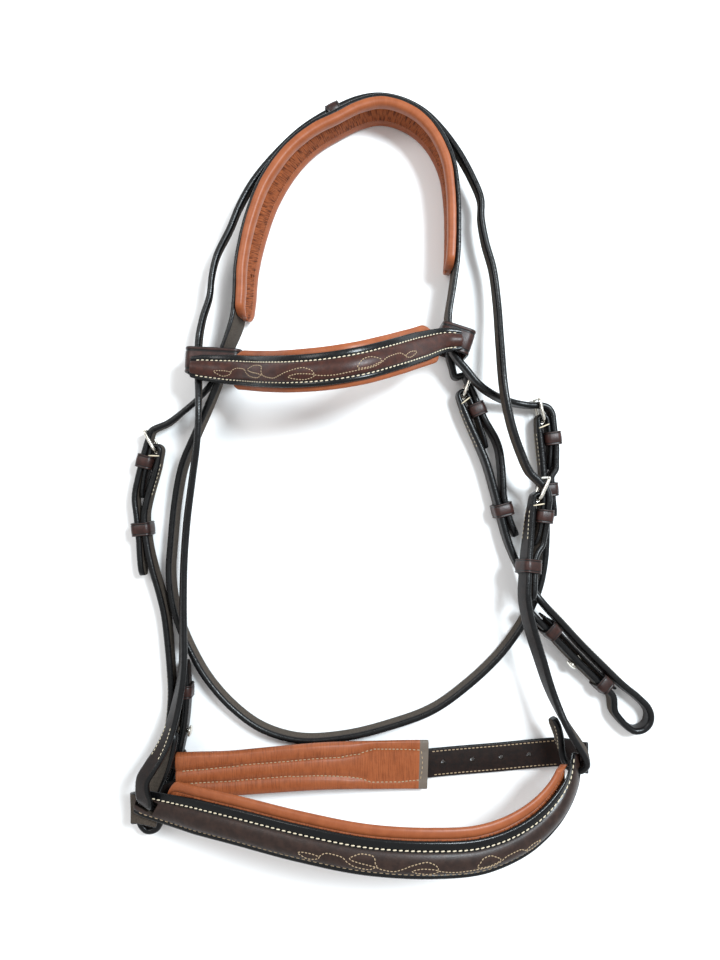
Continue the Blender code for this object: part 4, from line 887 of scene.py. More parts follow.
def band_section(rows):
    """Outline of a raised band: a flat rim outside each stitch row and a dome between them."""
    upper, lower = rows
    rim = [
        *BAND_UPPER_RIM_SHARES, (FLANGE_START_SHARE, FLANGE_SHARE),
        ((FLANGE_START_SHARE + upper) / 2, FLANGE_MIDDLE_SHARE),
        (upper + FLANGE_GAP_SHARE, FLANGE_SHARE), (upper + GROOVE_GAP_SHARE, GROOVE_SIDE_SHARE),
        (upper, GROOVE_SHARE),
    ]
    points = [(a, b, 1) for a, b in rim]
    for k in range(1, DOME_STEPS):
        share = k / DOME_STEPS
        rise = math.sin(math.pi * share) ** DOME_POWER
        edge = np.interp(rise, DOME_EDGE_RISES, DOME_EDGE_KINDS)
        height = GROOVE_SHARE + (1 - GROOVE_SHARE) * rise
        points.append((upper + (lower - upper) * share, height, edge))
    rim = [
        (lower, GROOVE_SHARE), (lower - GROOVE_GAP_SHARE, GROOVE_SIDE_SHARE),
        (lower - FLANGE_GAP_SHARE, FLANGE_SHARE), *BAND_LOWER_RIM_SHARES,
        *((a, -1) for a in BAND_UNDER_SHARES),
    ]
    return np.array(points + [(a, b, 1) for a, b in rim])


def roll_section(roll):
    """Outline of a pad whose edges are rolls, with a flat gathered face between them."""
    points = []
    for side in (1, -1):
        for k in range(ROLL_STEPS + 1):
            angle = math.radians(ROLL_START_DEGREES + ROLL_SWEEP_DEGREES * k / ROLL_STEPS)
            a = side * (1 - roll + roll * math.cos(angle))
            points.append((a, side * math.sin(angle), ROLL_GATHER))
        inward, high = side * (1 - FACE_START_ROLLS * roll), side * FACE_HEIGHT_SHARE
        points += [(inward, high, 1), (-inward, high, 1)]
    return np.array(points)


def crown_pad_section():
    """Outline of the headpiece pad: a soft roll, a gathered face and a small roll."""
    top = [(a, b, ROLL_GATHER if abs(a) > GATHERED_WITHIN else 1) for a, b in CROWN_PAD_SHARES]
    return np.array(top + [(a, -1, 0) for a in CROWN_PAD_UNDER_SHARES])


def puffed_section(upper, lower, puff):
    """Outline of a flat-backed pad, puffed up on both sides of its two stitch rows."""
    top = [(1, PUFF_EDGE_SHARE)]
    for high, low, rise in ((1, upper, 1), (upper, lower, PUFF_MIDDLE_RISE), (lower, -1, 1)):
        for k in range(1, PUFF_STEPS):
            share = k / PUFF_STEPS
            swell = math.sin(math.pi * share) ** PUFF_POWER
            height = PUFF_GROOVE_SHARE + (1 - PUFF_GROOVE_SHARE) * puff * rise * swell
            top.append((high + (low - high) * share, height))
        top.append((low, PUFF_GROOVE_SHARE if low > -1 else PUFF_EDGE_SHARE))
    under = [(a, -1) for a in PUFF_UNDER_SHARES]
    return np.array([(a, b, PAD_GATHER) for a, b in top + under])


def keeper_section(soft_a, soft_b):
    """Outline of a keeper: rounded edges, and a crease along each edge of its outer face."""
    crease = [(CREASE_SHARE + a, high, kind) for a, high, kind in CREASE_ROWS]
    mirrored = [(-a, high, kind) for a, high, kind in reversed(crease)]
    points = []
    for a, b, edge in rounded_section(soft_a, soft_b, KEEPER_EDGE_STEPS):
        if a == 0 and b > 0:
            points += crease + [(0, KEEPER_MIDDLE_SHARE, 0)] + mirrored
        else:
            points.append((a, b, edge))
    return np.array(points)


STRAP_SECTION = rounded_section(0.36, 0.94, 7)
WIDE_SECTION = rounded_section(0.09, 0.8)
BROAD_SECTION = rounded_section(0.1, 0.8)
NOSEBAND_SECTION = band_section(NOSEBAND_ROW_SHARES)
BROWBAND_SECTION = band_section(BROWBAND_ROW_SHARES)
BAND_PAD_SECTION = roll_section(ROLL_WIDTH_SHARE)
CROWN_PAD_SECTION = crown_pad_section()


def tapered(marks, start_tip, end_tip, width):
    """Widths that narrow to a rounded tip at either end."""
    marks = np.array(marks)
    shares = np.ones(len(marks))
    for wanted, distance in ((start_tip, marks - marks[0]), (end_tip, marks[-1] - marks)):
        if wanted:
            reach = 1 - np.clip(distance / TIP_LENGTH, 0, 1)
            shares = shares * np.sqrt(1 - TIP_BLUNT_SHARE * reach ** 2)
    return shares * width


def fine_marks(path, start, end, start_tip, end_tip):
    """Marks of the rings of a laid strap, with the extra ones of its tips and rounded ends."""
    wanted = {start + p for p in END_PLACES} | {end - p for p in END_PLACES}
    places = np.array(TIP_PLACE_SHARES) * TIP_LENGTH
    if start_tip:
        wanted |= {start + p for p in places if p > END_PLACES[0]}
    if end_tip:
        wanted |= {end - p for p in places if p > END_PLACES[0]}
    marks = stations(path, start, end)
    kept = [mark for mark in marks if all(abs(mark - place) > DENSE_STEP for place in wanted)]
    return sorted(set(kept) | wanted)


def suede_side(node, path):
    """The side of a strap that its suede back is on, as 1 or -1."""
    centre, _, _, side = path.place(path.length / 2)
    inner = 1 if np.dot(side, centre) < 0 else -1
    return -inner if node in TURNED_NODES else inner


def band_width(path, width, start_table, end_table):
    """Places along a band and its width there."""
    places = [place for place, _ in start_table] + [path.length - place for place, _ in end_table]
    return places, [width * share for _, share in start_table + end_table]


def share_at(path, width, column, row):
    """The mark and the share of the width of a place seen from above."""
    mark = nearest_mark(path, column, row)
    centre, _, up, _ = path.place(mark)
    gap = np.dot(seen_from_above(column, row, centre[2]) - centre, up)
    return mark, 2 * gap / along_strap([mark], width)[0]


def seen_flat(points):
    """Where points appear on the floor, seen by the camera."""
    eye = np.array([-CENTRE_X, -CENTRE_Y])
    return (points[:, :2] - eye) * (EYE_HEIGHT / (EYE_HEIGHT - points[:, 2:]))


def seen_lead(centre, along, ring):
    """How far ahead of their ring its points lie, seen by the camera."""
    middle, ahead = seen_flat(np.array([centre, centre + along * DENSE_STEP]))
    step = (ahead - middle) / DENSE_STEP
    return (seen_flat(ring) - middle) @ step / max(step @ step, LEAST_SEEN_SHARE)


def along_strap(marks, size):
    """A size at every mark; the size is one number, or places with their sizes."""
    if isinstance(size, tuple):
        return np.interp(marks, size[0], size[1])
    return np.full(len(marks), size)


def skin(name, rings, lanes, loop=False):
    """A closed smooth mesh over rings of points, with a lane on every point."""
    count, size = rings.shape[0], rings.shape[1]
    index = np.arange(count * size).reshape(count, size)
    following = np.roll(index, -1, 0) if loop else index[1:]
    first = index if loop else index[:-1]
    quads = np.stack(
        [first, np.roll(first, -1, 1), np.roll(following, -1, 1), following], 2
    ).reshape(-1, 4)
    faces = quads.tolist()
    if not loop:
        faces += [index[0][::-1].tolist(), index[-1].tolist()]
    mesh = bpy.data.meshes.new(name)
    mesh.from_pydata(rings.reshape(-1, 3).tolist(), [], faces)
    lane = mesh.attributes.new("lane", "FLOAT_VECTOR", "POINT")
    lane.data.foreach_set("vector", lanes.astype(np.float32).reshape(-1))
    mesh.shade_smooth()
    turn_outward(mesh)
    return mesh


def turn_outward(mesh):
    """Turns a closed mesh's faces so that they look outward."""
    mesh.calc_loop_triangles()
    points = np.empty(len(mesh.vertices) * 3)
    mesh.vertices.foreach_get("co", points)
    points = points.reshape(-1, 3)
    triangles = np.empty(len(mesh.loop_triangles) * 3, int)
    mesh.loop_triangles.foreach_get("vertices", triangles)
    triangles = triangles.reshape(-1, 3)
    a, b, c = points[triangles[:, 0]], points[triangles[:, 1]], points[triangles[:, 2]]
    if np.einsum("ij,ij->i", a, np.cross(b, c)).sum() < 0:
        mesh.flip_normals()


def placed(name, data):
    """A new object of the scene."""
    made = bpy.data.objects.new(name, data)
    bpy.context.scene.collection.objects.link(made)
    return made


def piece(node, mesh, finish):
    """Shows a mesh in the place of a CAD node, on the same body and with its finish."""
    mesh.materials.append(FINISHES[finish])
    made = placed("fine_" + node, mesh)
    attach(made, BODY_OF[node])
    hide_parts(node)
    return made


def lay(node, path, thickness, width=STRAP_WIDTH, start=0, end=None, tips=(False, False),
        section=STRAP_SECTION, finish="strap", sides=0, ups=0, ripple=0):
    """A strap laid along a path in place of a CAD node."""
    end = path.length if end is None else end
    marks = np.array(fine_marks(path, start, end, *tips))
    insets = np.interp(marks - start, END_PLACES[::-1], END_INSETS[::-1])
    insets += np.interp(end - marks, END_PLACES[::-1], END_INSETS[::-1])
    widths = tapered(marks, *tips, along_strap(marks, width)) - 2 * insets
    thicknesses = along_strap(marks, thickness)
    waves = np.sin(marks / RIPPLE_LENGTHS[0]) + np.sin(marks / RIPPLE_LENGTHS[1] + 1)
    swollen = thicknesses * (1 + ripple * waves / 2)
    thicknesses = np.maximum(swollen - 2 * insets, thicknesses / 3)
    back = suede_side(node, path) if finish == "strap" else 0
    rings, lanes = [], []
    for mark, wide, thick in zip(marks, widths, thicknesses):
        centre, along, up, side = path.place(mark)
        centre = centre + side * sides + up * ups
        a, b, kind = (section(mark) if callable(section) else section).T
        rings.append(centre + np.outer(a * wide / 2, up) + np.outer(b * thick / 2, side))
        kind = np.where(b * back > 0, 2 * kind - 1, kind)
        lanes.append(np.column_stack([mark + seen_lead(centre, along, rings[-1]), a, kind]))
    return piece(node, skin(node, np.array(rings), np.array(lanes)), finish)


def frame_matrix(centre, x, y, z):
    """The matrix of a place with its three directions."""
    turn = Matrix((x, y, z)).transposed().to_4x4()
    return Matrix.Translation(Vector(centre)) @ turn


def tube(node, points, radii, closed, level):
    """A round wire through points, closed on itself or with rounded ends."""
    points, count = np.array(points), len(points)
    spins = np.arange(WIRE_SIDES) / WIRE_SIDES * 2 * math.pi
    rings, lanes = [], []
    for i, (point, radius) in enumerate(zip(points, radii)):
        before = points[i - 1] if closed or i else points[0]
        after = points[(i + 1) % count] if closed or i < count - 1 else points[-1]
        along = unit(after - before)
        first = unit(level - along * np.dot(level, along))
        second = np.cross(along, first)
        circle = np.outer(np.cos(spins), first) + np.outer(np.sin(spins), second)
        rings.append(point + radius * circle)
        lanes.append(np.column_stack([np.full(WIRE_SIDES, i), spins, np.zeros(WIRE_SIDES)]))
    return piece(node, skin(node, np.array(rings), np.array(lanes), loop=closed), "nickel")


def rounded_corners(low_x, high_x, low_y, high_y, radius, steps):
    """Corners of a rounded rectangle, as points in order with their outward directions."""
    points = []
    centres = [
        (high_x - radius, high_y - radius, 0),
        (low_x + radius, high_y - radius, 1),
        (low_x + radius, low_y + radius, 2),
        (high_x - radius, low_y + radius, 3),
    ]
    for x, y, quarter in centres:
        for k in range(steps + 1):
            angle = (quarter + k / steps) * math.pi / 2
            out = (math.cos(angle), math.sin(angle))
            points.append((x + radius * out[0], y + radius * out[1], *out))
    return points


def hoop(node, matrix, half_x, half_y, corner, wall, length, middle_x=0):
    """A band of leather closed into a rounded rectangle, in place of a CAD node."""
    corners = rounded_corners(
        middle_x - half_x, middle_x + half_x, -half_y, half_y, corner, KEEPER_BEND_STEPS
    )
    loop = []
    for (x, y, nx, ny), (x2, y2, _, _) in zip(corners, corners[1:] + corners[:1]):
        count = max(1, int(math.hypot(x2 - x, y2 - y) / LONGEST_STEP))
        for k in range(count):
            share = k / count
            loop.append((x + (x2 - x) * share, y + (y2 - y) * share, nx, ny))
    soft = wall * KEEPER_SOFT_SHARE
    band = keeper_section(2 * soft / length, 2 * soft / wall)
    rings, lanes, mark = [], [], 0
    rows = matrix.to_3x3()
    x_dir, y_dir, z_dir = (np.array(rows.col[k]) for k in range(3))
    origin = np.array(matrix.translation)
    for x, y, nx, ny in loop:
        point = origin + x * x_dir + y * y_dir
        out = nx * x_dir + ny * y_dir
        thick = wall * (1 + band[:, 1]) / 2
        rings.append(point + np.outer(band[:, 0] * length / 2, z_dir) + np.outer(thick, out))
        lanes.append(np.column_stack([np.full(len(band), mark), band[:, 0], band[:, 2]]))
        mark += LONGEST_STEP
    return piece(node, skin(node, np.array(rings), np.array(lanes), loop=True), "keeper")


def keeper(node, path, mark, low, high, width=STRAP_WIDTH, play=KEEPER_PLAY,
           wall=KEEPER_THICKNESS):
    """A leather loop round layers that span from low to high along the path's side."""
    centre, along, up, side = path.place(mark)
    half_x, half_y = (high - low) / 2 + play, width / 2 + play
    return hoop(
        node, frame_matrix(centre, side, up, -along), half_x, half_y, KEEPER_BEND, wall,
        KEEPER_LENGTH, (low + high) / 2,
    )


def cutter(mesh, matrix):
    """A mesh put in place for cutting."""
    made = placed("cutter", mesh)
    made.matrix_world = matrix
    return made


def box(centre, x, y, size_x, size_y, size_z):
    """A block whose X and Y run along two directions at right angles."""
    corners = [(a, b, c) for a in (-0.5, 0.5) for b in (-0.5, 0.5) for c in (-0.5, 0.5)]
    faces = [(0, 1, 3, 2), (4, 6, 7, 5), (0, 4, 5, 1), (2, 3, 7, 6), (0, 2, 6, 4), (1, 5, 7, 3)]
    mesh = bpy.data.meshes.new("box")
    mesh.from_pydata(corners, [], faces)
    scale = Matrix.Diagonal((size_x, size_y, size_z, 1))
    return cutter(mesh, frame_matrix(centre, x, y, np.cross(x, y)) @ scale)


def cylinder(centre, x, y, radius, depth):
    """A drum whose ends are parallel to two directions at right angles."""
    spins = np.arange(DRUM_SIDES) / DRUM_SIDES * 2 * math.pi
    low = [(radius * math.cos(s), radius * math.sin(s), -depth / 2) for s in spins]
    high = [(px, py, depth / 2) for px, py, _ in low]
    faces = [list(range(DRUM_SIDES))[::-1], [DRUM_SIDES + k for k in range(DRUM_SIDES)]]
    for k in range(DRUM_SIDES):
        j = (k + 1) % DRUM_SIDES
        faces.append((k, j, DRUM_SIDES + j, DRUM_SIDES + k))
    mesh = bpy.data.meshes.new("drum")
    mesh.from_pydata(low + high, [], faces)
    return cutter(mesh, frame_matrix(centre, x, y, np.cross(x, y)))


def carve(made, cutters):
    """Cuts holes and slots into a piece, lays its lanes on it again and removes the cutters."""
    whole = made.data
    for tool in cutters:
        step = made.modifiers.new("cut", "BOOLEAN")
        step.operation = "DIFFERENCE"
        step.object = tool
        step.solver = "EXACT"
    bpy.context.view_layer.update()
    graph = bpy.context.evaluated_depsgraph_get()
    mesh = bpy.data.meshes.new_from_object(made.evaluated_get(graph))
    made.modifiers.clear()
    tree = KDTree(len(whole.vertices))
    for vertex in whole.vertices:
        tree.insert(vertex.co, vertex.index)
    tree.balance()
    lane, old = mesh.attributes["lane"], whole.attributes["lane"]
    for vertex in mesh.vertices:
        lane.data[vertex.index].vector = old.data[tree.find(vertex.co)[1]].vector
    mesh.set_sharp_from_angle(angle=CUT_EDGE_ANGLE)
    made.data = mesh
    for tool in cutters:
        bpy.data.objects.remove(tool, do_unlink=True)


class Surface:
    """The face of a laid strap, found by distance along it and share of its width."""

    def __init__(self, path, width, thickness, profile=None, face=1, sides=0, ups=0):
        self.path = path
        self.width = width
        self.thickness = thickness
        self.face = face
        self.sides = sides
        self.ups = ups
        profile = np.array([(1, 1), (-1, 1)]) if profile is None else profile
        self.shares = profile[::-1, 0]
        self.heights = profile[::-1, 1]

    def at(self, mark, a):
        """A point on the face and the direction that looks out of it."""
        centre, _, up, side = self.path.place(mark)
        half = along_strap([mark], self.thickness)[0] / 2
        wide = along_strap([mark], self.width)[0] / 2
        side = side * self.face
        near = [a - SLOPE_REACH_SHARE, a, a + SLOPE_REACH_SHARE]
        rise = np.interp(near, self.shares, self.heights) * half
        slope = (rise[2] - rise[0]) / (2 * SLOPE_REACH_SHARE * wide)
        point = centre + side * (self.sides * self.face + rise[1])
        return point + up * (self.ups + a * wide), unit(side - up * slope)


class Thread:
    """Stitches of one seam or more, gathered into one mesh."""

    def __init__(self):
        self.stitches = []

    def add(self, centre, along, out, length, radius):
        """One stitch, by its middle, its run and the direction that looks out of the leather."""
        along = unit(along)
        out = unit(out - along * np.dot(out, along))
        self.stitches.append((centre, along, out, length, radius))

    def seam(self, surface, start, end, a, size, slant=0):
        """A straight row of stitches at a share of the width."""
        pitch, length, radius = size
        count = max(1, int(round(abs(end - start) / pitch)))
        for k in range(count):
            mark = start + (end - start) * (k + 0.5) / count
            share = a(mark) if callable(a) else a
            centre, out = surface.at(mark, share)
            along = surface.at(mark + DENSE_STEP, share)[0] - centre
            along = unit(along) + np.cross(out, unit(along)) * slant
            self.add(centre, along, out, length, radius)

    def pair(self, surface, start, end):
        """The two straight rows of a narrow strap."""
        for share in (SEAM_SHARE, -SEAM_SHARE):
            self.seam(surface, start, end, share, STRAP_THREAD)

    def line(self, surface, marks, shares, size):
        """Stitches along a line drawn on a surface."""
        pitch, length, radius = size
        points = np.array([surface.at(m, a)[0] for m, a in zip(marks, shares)])
        steps = np.linalg.norm(np.diff(points, axis=0), axis=1)
        reach = np.concatenate([[0], np.cumsum(steps)])
        count = max(1, int(round(reach[-1] / pitch)))
        for k in range(count):
            near, far = (reach[-1] * (k + s) / count for s in LINE_STITCH_SHARES)
            place = [(np.interp(r, reach, marks), np.interp(r, reach, shares)) for r in (near, far)]
            middle = surface.at((place[0][0] + place[1][0]) / 2, (place[0][1] + place[1][1]) / 2)
            along = surface.at(*place[1])[0] - surface.at(*place[0])[0]
            self.add(middle[0], along, middle[1], length, radius)

    def finish(self, name, body, finish="thread"):
        """The stitches as one piece that rides on a body."""
        spins = np.arange(STITCH_SIDES) / STITCH_SIDES * 2 * math.pi
        points, faces = [], []
        for centre, along, out, length, radius in self.stitches:
            across = np.cross(along, out)
            base = len(points)
            for place, swell, drop in zip(
                STITCH_PLACE_SHARES, STITCH_ROUND_SHARES, STITCH_DROP_SHARES
            ):
                middle = centre + along * place * length
                middle = middle + out * radius * (STITCH_SINK - drop)
                for spin in spins:
                    reach = across * math.cos(spin) + out * math.sin(spin) * STITCH_FLATNESS
                    points.append(middle + reach * radius * swell)
            for ring in range(len(STITCH_PLACE_SHARES) - 1):
                for k in range(STITCH_SIDES):
                    j = (k + 1) % STITCH_SIDES
                    low, high = base + ring * STITCH_SIDES, base + (ring + 1) * STITCH_SIDES
                    faces.append((low + k, low + j, high + j, high + k))
            last = base + (len(STITCH_PLACE_SHARES) - 1) * STITCH_SIDES
            faces.append([base + k for k in range(STITCH_SIDES)][::-1])
            faces.append([last + k for k in range(STITCH_SIDES)])
        mesh = bpy.data.meshes.new(name)
        mesh.from_pydata(points, [], faces)
        mesh.shade_smooth()
        turn_outward(mesh)
        mesh.materials.append(FINISHES[finish])
        made = placed(name, mesh)
        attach(made, body)
        return made


class Buckle:
    """A buckle at the turned end of a strap, and the parts that meet there."""

    def __init__(self, which, route, leather):
        self.leg = Path(route_rows(route))
        centre, run, up, side = self.leg.place(0)
        angle = FRAME_ANGLES[which]
        self.which = which
        self.leather = leather
        self.side = BILLET_SIDES[which]
        self.up = up
        self.run = run
        self.out = side * self.side
        self.bar = centre + self.out * leather.turn_radius
        self.ahead = -run * math.cos(angle) + self.out * math.sin(angle)
        self.over = self.out * math.cos(angle) + run * math.sin(angle)
        self.keeper, self.tail, self.runner, self.end = (
            nearest_mark(self.leg, *place) for place in BUCKLE_PIXELS[which]
        )

    def frame(self):
        """The wire frame; its bar is the side that the strap turns round."""
        half = self.leather.width / 2 + FRAME_SIDE_PLAY + WIRE_RADIUS
        flat = rounded_corners(0, FRAME_LENGTH, -half, half, FRAME_CORNER, FRAME_CORNER_STEPS)
        points = [self.bar + self.ahead * x + self.up * y for x, y, _, _ in flat]
        tube(self.which + "_buckle", points, [WIRE_RADIUS] * len(points), True, self.over)

    def tongue(self):
        """A wire hooked round the bar, with its tip resting on the far end of the frame."""
        points = []
        for k in range(TONGUE_STEPS + 1):
            angle = TONGUE_HOOK_START + (TONGUE_HOOK_END - TONGUE_HOOK_START) * k / TONGUE_STEPS
            reach = self.over * math.sin(angle) + self.ahead * math.cos(angle)
            points.append(self.bar + reach * TONGUE_OFFSET)
        length = FRAME_LENGTH + TONGUE_OVERHANG
        for share in TONGUE_POINT_SHARES:
            points.append(self.bar + self.over * TONGUE_OFFSET + self.ahead * share * length)
        whole = len(points) - len(TONGUE_HOOK_SHARES) - len(TONGUE_TIP_SHARES)
        shares = [*TONGUE_HOOK_SHARES, *[1] * whole, *TONGUE_TIP_SHARES]
        tube(self.which + "_tongue", points, np.array(shares) * TONGUE_RADIUS, False, self.up)

    def passage(self, near, far, swung, width):
        """A box round the tongue, from near to far ahead of the bar, with room for its swing."""
        low = TONGUE_OFFSET - TONGUE_ROOM
        high = TONGUE_OFFSET + TONGUE_ROOM + swung * math.sin(TONGUE_SWING)
        middle = self.bar + self.ahead * (near + far) / 2 + self.over * (low + high) / 2
        return box(middle, self.ahead, self.over, far - near, high - low, width)

    def strap(self, node, more=(), end_tip=False, section=STRAP_SECTION):
        """The strap: its start is turned round the bar, laid back beside it and slotted."""
        leather = self.leather
        marks = np.linspace(self.tail, 0, TAIL_STEPS)
        offsets = np.interp(
            marks, [0, TAIL_REACH, self.tail],
            [2 * leather.turn_radius, 2 * leather.turn_radius, leather.tail_offset],
        )
        rows = beside(self.leg, marks, self.side * offsets)
        for k in range(1, TURN_STEPS):
            angle = math.pi * k / TURN_STEPS
            reach = self.out * math.cos(angle) - self.run * math.sin(angle)
            rows.append([self.bar + reach * leather.turn_radius, self.up])
        leg_marks = [*np.arange(0, self.leg.length - LEG_STEP / 2, LEG_STEP), self.leg.length]
        rows += beside(self.leg, leg_marks, np.zeros(len(leg_marks)))
        self.path = Path(rows + list(more))
        bend = self.path.row_marks[len(marks) - 1]
        self.turned = self.path.row_marks[len(marks) - 1 + TURN_STEPS]
        self.layers = (
            [0, bend, self.turned, self.turned + SKIVE_LENGTH],
            [leather.tail, leather.turn, leather.turn, leather.strap],
        )
        made = lay(
            node, self.path, self.layers, leather.width, tips=(True, end_tip), section=section
        )
        reach = leather.turn_radius + leather.turn + SEAM_GAP
        radius = TONGUE_OFFSET + TONGUE_ROOM
        drum = cylinder(self.bar, self.ahead, self.over, radius, 2 * TONGUE_ROOM)
        carve(made, [drum, self.passage(0, reach, reach, 2 * (TONGUE_RADIUS + GATE_PLAY))])
        return made

    def stitches(self, thread):
        """The seams that close the turned end: two rows, and a cross stitch over the edge."""
        leather = self.leather
        back = Surface(self.path, leather.width, self.layers, face=-self.side)
        first, last = self.turned + SEAM_START, self.turned + self.tail - SEAM_END
        thread.pair(back, first, last)
        centre, along, up, right = self.path.place(self.turned + CROSS_START)
        middle = centre + right * self.side * leather.turn_radius + up * leather.width / 2
        length = CROSS_LENGTH + leather.turn_radius
        thread.add(middle, right + along * CROSS_SLANT, up, length, CROSS_RADIUS)

    def billet(self, node, incoming, start_tip, section):
        """The billet: it comes in through the frame and lies along the strap below it."""
        leather = self.leather
        bulge, gape = BULGE_SHARES[self.which]
        closed = [self.runner - CLOSED_REACH, self.runner + CLOSED_REACH]
        known = [0, TAIL_REACH, self.tail, *closed, self.end]
        offsets = [
            leather.billet_offset, leather.billet_offset,
            leather.over_tail_offset + bulge * STRAP_WIDTH, leather.closed_offset,
            leather.closed_offset, leather.closed_offset + gape * STRAP_WIDTH,
        ]
        entry = [
            [self.bar + (self.out * a - self.run * b) * FRAME_LENGTH, self.up]
            for a, b in ENTRY_SHARES[self.which]
        ]
        marks = np.linspace(ENTRY_SETTLE, self.end, BILLET_STEPS)
        laid = beside(self.leg, marks, self.side * np.interp(marks, known, offsets))
        path = Path(route_rows(incoming) + entry + laid)
        made = lay(
            node, path, leather.billet, leather.width, tips=(start_tip, True), section=section
        )
        start, end = (FRAME_LENGTH * share for share in HOLE_SPAN_SHARES)
        carve(made, [self.passage(start, end, FRAME_LENGTH, 2 * TONGUE_ROOM)])
        return made, path

    def keepers(self):
        """The fixed keeper round the tail and billet, and the loose one round all the layers."""
        leather, side = self.leather, self.side
        inner = 2 * leather.turn_radius - leather.turn / 2
        outer = leather.billet_offset + leather.billet / 2
        fixed = sorted((side * inner, side * outer))
        keeper(self.which + "_keeper", self.leg, self.keeper, *fixed, leather.width)
        outer = leather.closed_offset + leather.billet / 2
        loose = sorted((-side * leather.strap / 2, side * outer))
        keeper(
            self.which + "_runner", self.leg, self.runner, *loose, leather.width, RUNNER_PLAY
        )

    def close(self, incoming, node=None, start_tip=False, section=STRAP_SECTION):
        """The frame, tongue, billet and keepers; gives back the billet and its path."""
        self.frame()
        self.tongue()
        billet = self.billet(node or self.which + "_billet", incoming, start_tip, section)
        self.keepers()
        return billet


def lathe(node, profile, matrix):
    """A round solid about its own Z axis, in place of a CAD node."""
    spins = np.arange(ROUND_SIDES) / ROUND_SIDES * 2 * math.pi
    rings = []
    for radius, height in profile:
        ring = [(radius * math.cos(s), radius * math.sin(s), height) for s in spins]
        rings.append([matrix @ Vector(point) for point in ring])
    rings = np.array(rings)
    return piece(node, skin(node, rings, np.zeros(rings.shape)), "nickel")


def hook_stud(node, leg, mark, side):
    """A stud on the lining: foot, neck, domed head; gives back a cutter for its hole."""
    centre, _, up, right = leg.place(mark)
    out = right * side
    across = np.cross(out, up)
    foot = centre + out * (LINING_OFFSET + LINING_THICKNESS / 2 + SEAM_GAP)
    head = STUD_FOOT_HEIGHT + 2 * BIT_GAP + STRAP_THICKNESS
    profile = [
        (STUD_FOOT_RADIUS * STUD_CENTRE_SHARE, 0), (STUD_FOOT_RADIUS, 0),
        (STUD_FOOT_RADIUS, STUD_FOOT_HEIGHT), (STUD_NECK_RADIUS, STUD_FOOT_HEIGHT),
        (STUD_NECK_RADIUS, head), (STUD_RADIUS * STUD_UNDER_SHARE, head),
    ]
    rim = STUD_RIM_ANGLE
    for k in range(STUD_STEPS + 1):
        angle = -rim + (math.pi / 2 + rim) * k / STUD_STEPS
        rise = (math.sin(angle) + math.sin(rim)) / (1 + math.sin(rim))
        radius = max(STUD_RADIUS * math.cos(angle), STUD_RADIUS * STUD_TOP_SHARE)
        profile.append((radius, head + STUD_HEAD_HEIGHT * rise))
    lathe(node, profile, frame_matrix(foot, up, across, out))
    hole = STUD_NECK_RADIUS + STUD_PLAY
    return cylinder(foot + out * (head / 2), up, across, hole, STRAP_THICKNESS + 3 * BIT_GAP)


def cheekpiece(hand, route, incoming):
    """One cheekpiece: buckle end, strap, and bit loop with its hook-stud billet."""
    which = hand + "_cheek"
    buckle = Buckle(which, route, NARROW)
    leg = buckle.leg
    side = BIT_SIDES[hand]
    upper, lower, stud, tip = (nearest_mark(leg, *place) for place in BIT_END_PIXELS[hand])
    marks = np.linspace(lower + HOOK_RETURN, tip, HOOK_STEPS)
    hook_rows = beside(leg, marks, np.full(HOOK_STEPS, side * HOOK_OFFSET))
    strap = buckle.strap(which + "_strap", hook_rows, end_tip=True)
    buckle.close(incoming)
    carve(strap, [hook_stud(which + "_hook_stud", leg, stud, side)])
    start, end = upper - LINING_ABOVE, lower + LINING_BELOW
    offset = side * LINING_OFFSET
    lay(which + "_lining", leg, LINING_THICKNESS, start=start, end=end, sides=offset)
    inner = LINING_OFFSET - LINING_THICKNESS / 2
    outer = HOOK_OFFSET + STRAP_THICKNESS / 2
    span = sorted((side * inner, side * outer))
    for place, mark in (("upper", upper), ("lower", lower)):
        keeper(
            which + "_bit_keeper_" + place, leg, mark, *span, play=BIT_KEEPER_PLAY,
            wall=BIT_KEEPER_THICKNESS,
        )
    thread = Thread()
    buckle.stitches(thread)
    thread.pair(Surface(leg, STRAP_WIDTH, STRAP_THICKNESS, face=-side), start, end)
    thread.finish(which + "_stitches", BODY_OF[which + "_strap"])


def headpiece():
    """The crown strap, its tan pad with two small holes, and the pad's seams."""
    path = Path(route_rows(CROWN_ROUTE_SHARES))
    places = [0, CROWN_END_REACH, path.length - CROWN_END_REACH, path.length]
    narrow, thin = CROWN_WIDTH - CROWN_END_NARROWING, CROWN_THICKNESS - CROWN_END_THINNING
    width = (places, [narrow, CROWN_WIDTH, CROWN_WIDTH, narrow])
    thickness = (places, [thin, CROWN_THICKNESS, CROWN_THICKNESS, thin])
    lay("crown_strap", path, thickness, width, section=WIDE_SECTION)
    first, last = (share * path.length for share in CROWN_PAD_SPAN_SHARES)
    out = CROWN_THICKNESS / 2 + PAD_GAP + PAD_THICKNESS / 2
    pad = lay(
        "crown_pad", path, PAD_THICKNESS, PAD_WIDTH, first, last, (True, True),
        CROWN_PAD_SECTION, "tan", out, ripple=PAD_RIPPLE,
    )
    holes = []
    for hole in CROWN_PAD_HOLE_PIXELS:
        mark, share = share_at(path, PAD_WIDTH, *hole)
        centre, along, up, side = path.place(mark)
        place = centre + side * out + up * share * PAD_WIDTH / 2
        holes.append(cylinder(place, along, up, CROWN_PAD_HOLE_RADIUS, 2 * PAD_THICKNESS))
    carve(pad, holes)
    thread = Thread()
    profile = CROWN_PAD_SECTION[: len(CROWN_PAD_SHARES)]
    face = Surface(path, PAD_WIDTH, PAD_THICKNESS, profile, sides=out)
    for share in CROWN_PAD_SEAM_SHARES:
        thread.seam(face, first + TIP_LENGTH, last - TIP_LENGTH, share, PAD_THREAD)
    thread.finish("crown_stitches", BODY_OF["crown_strap"], "tan_thread")


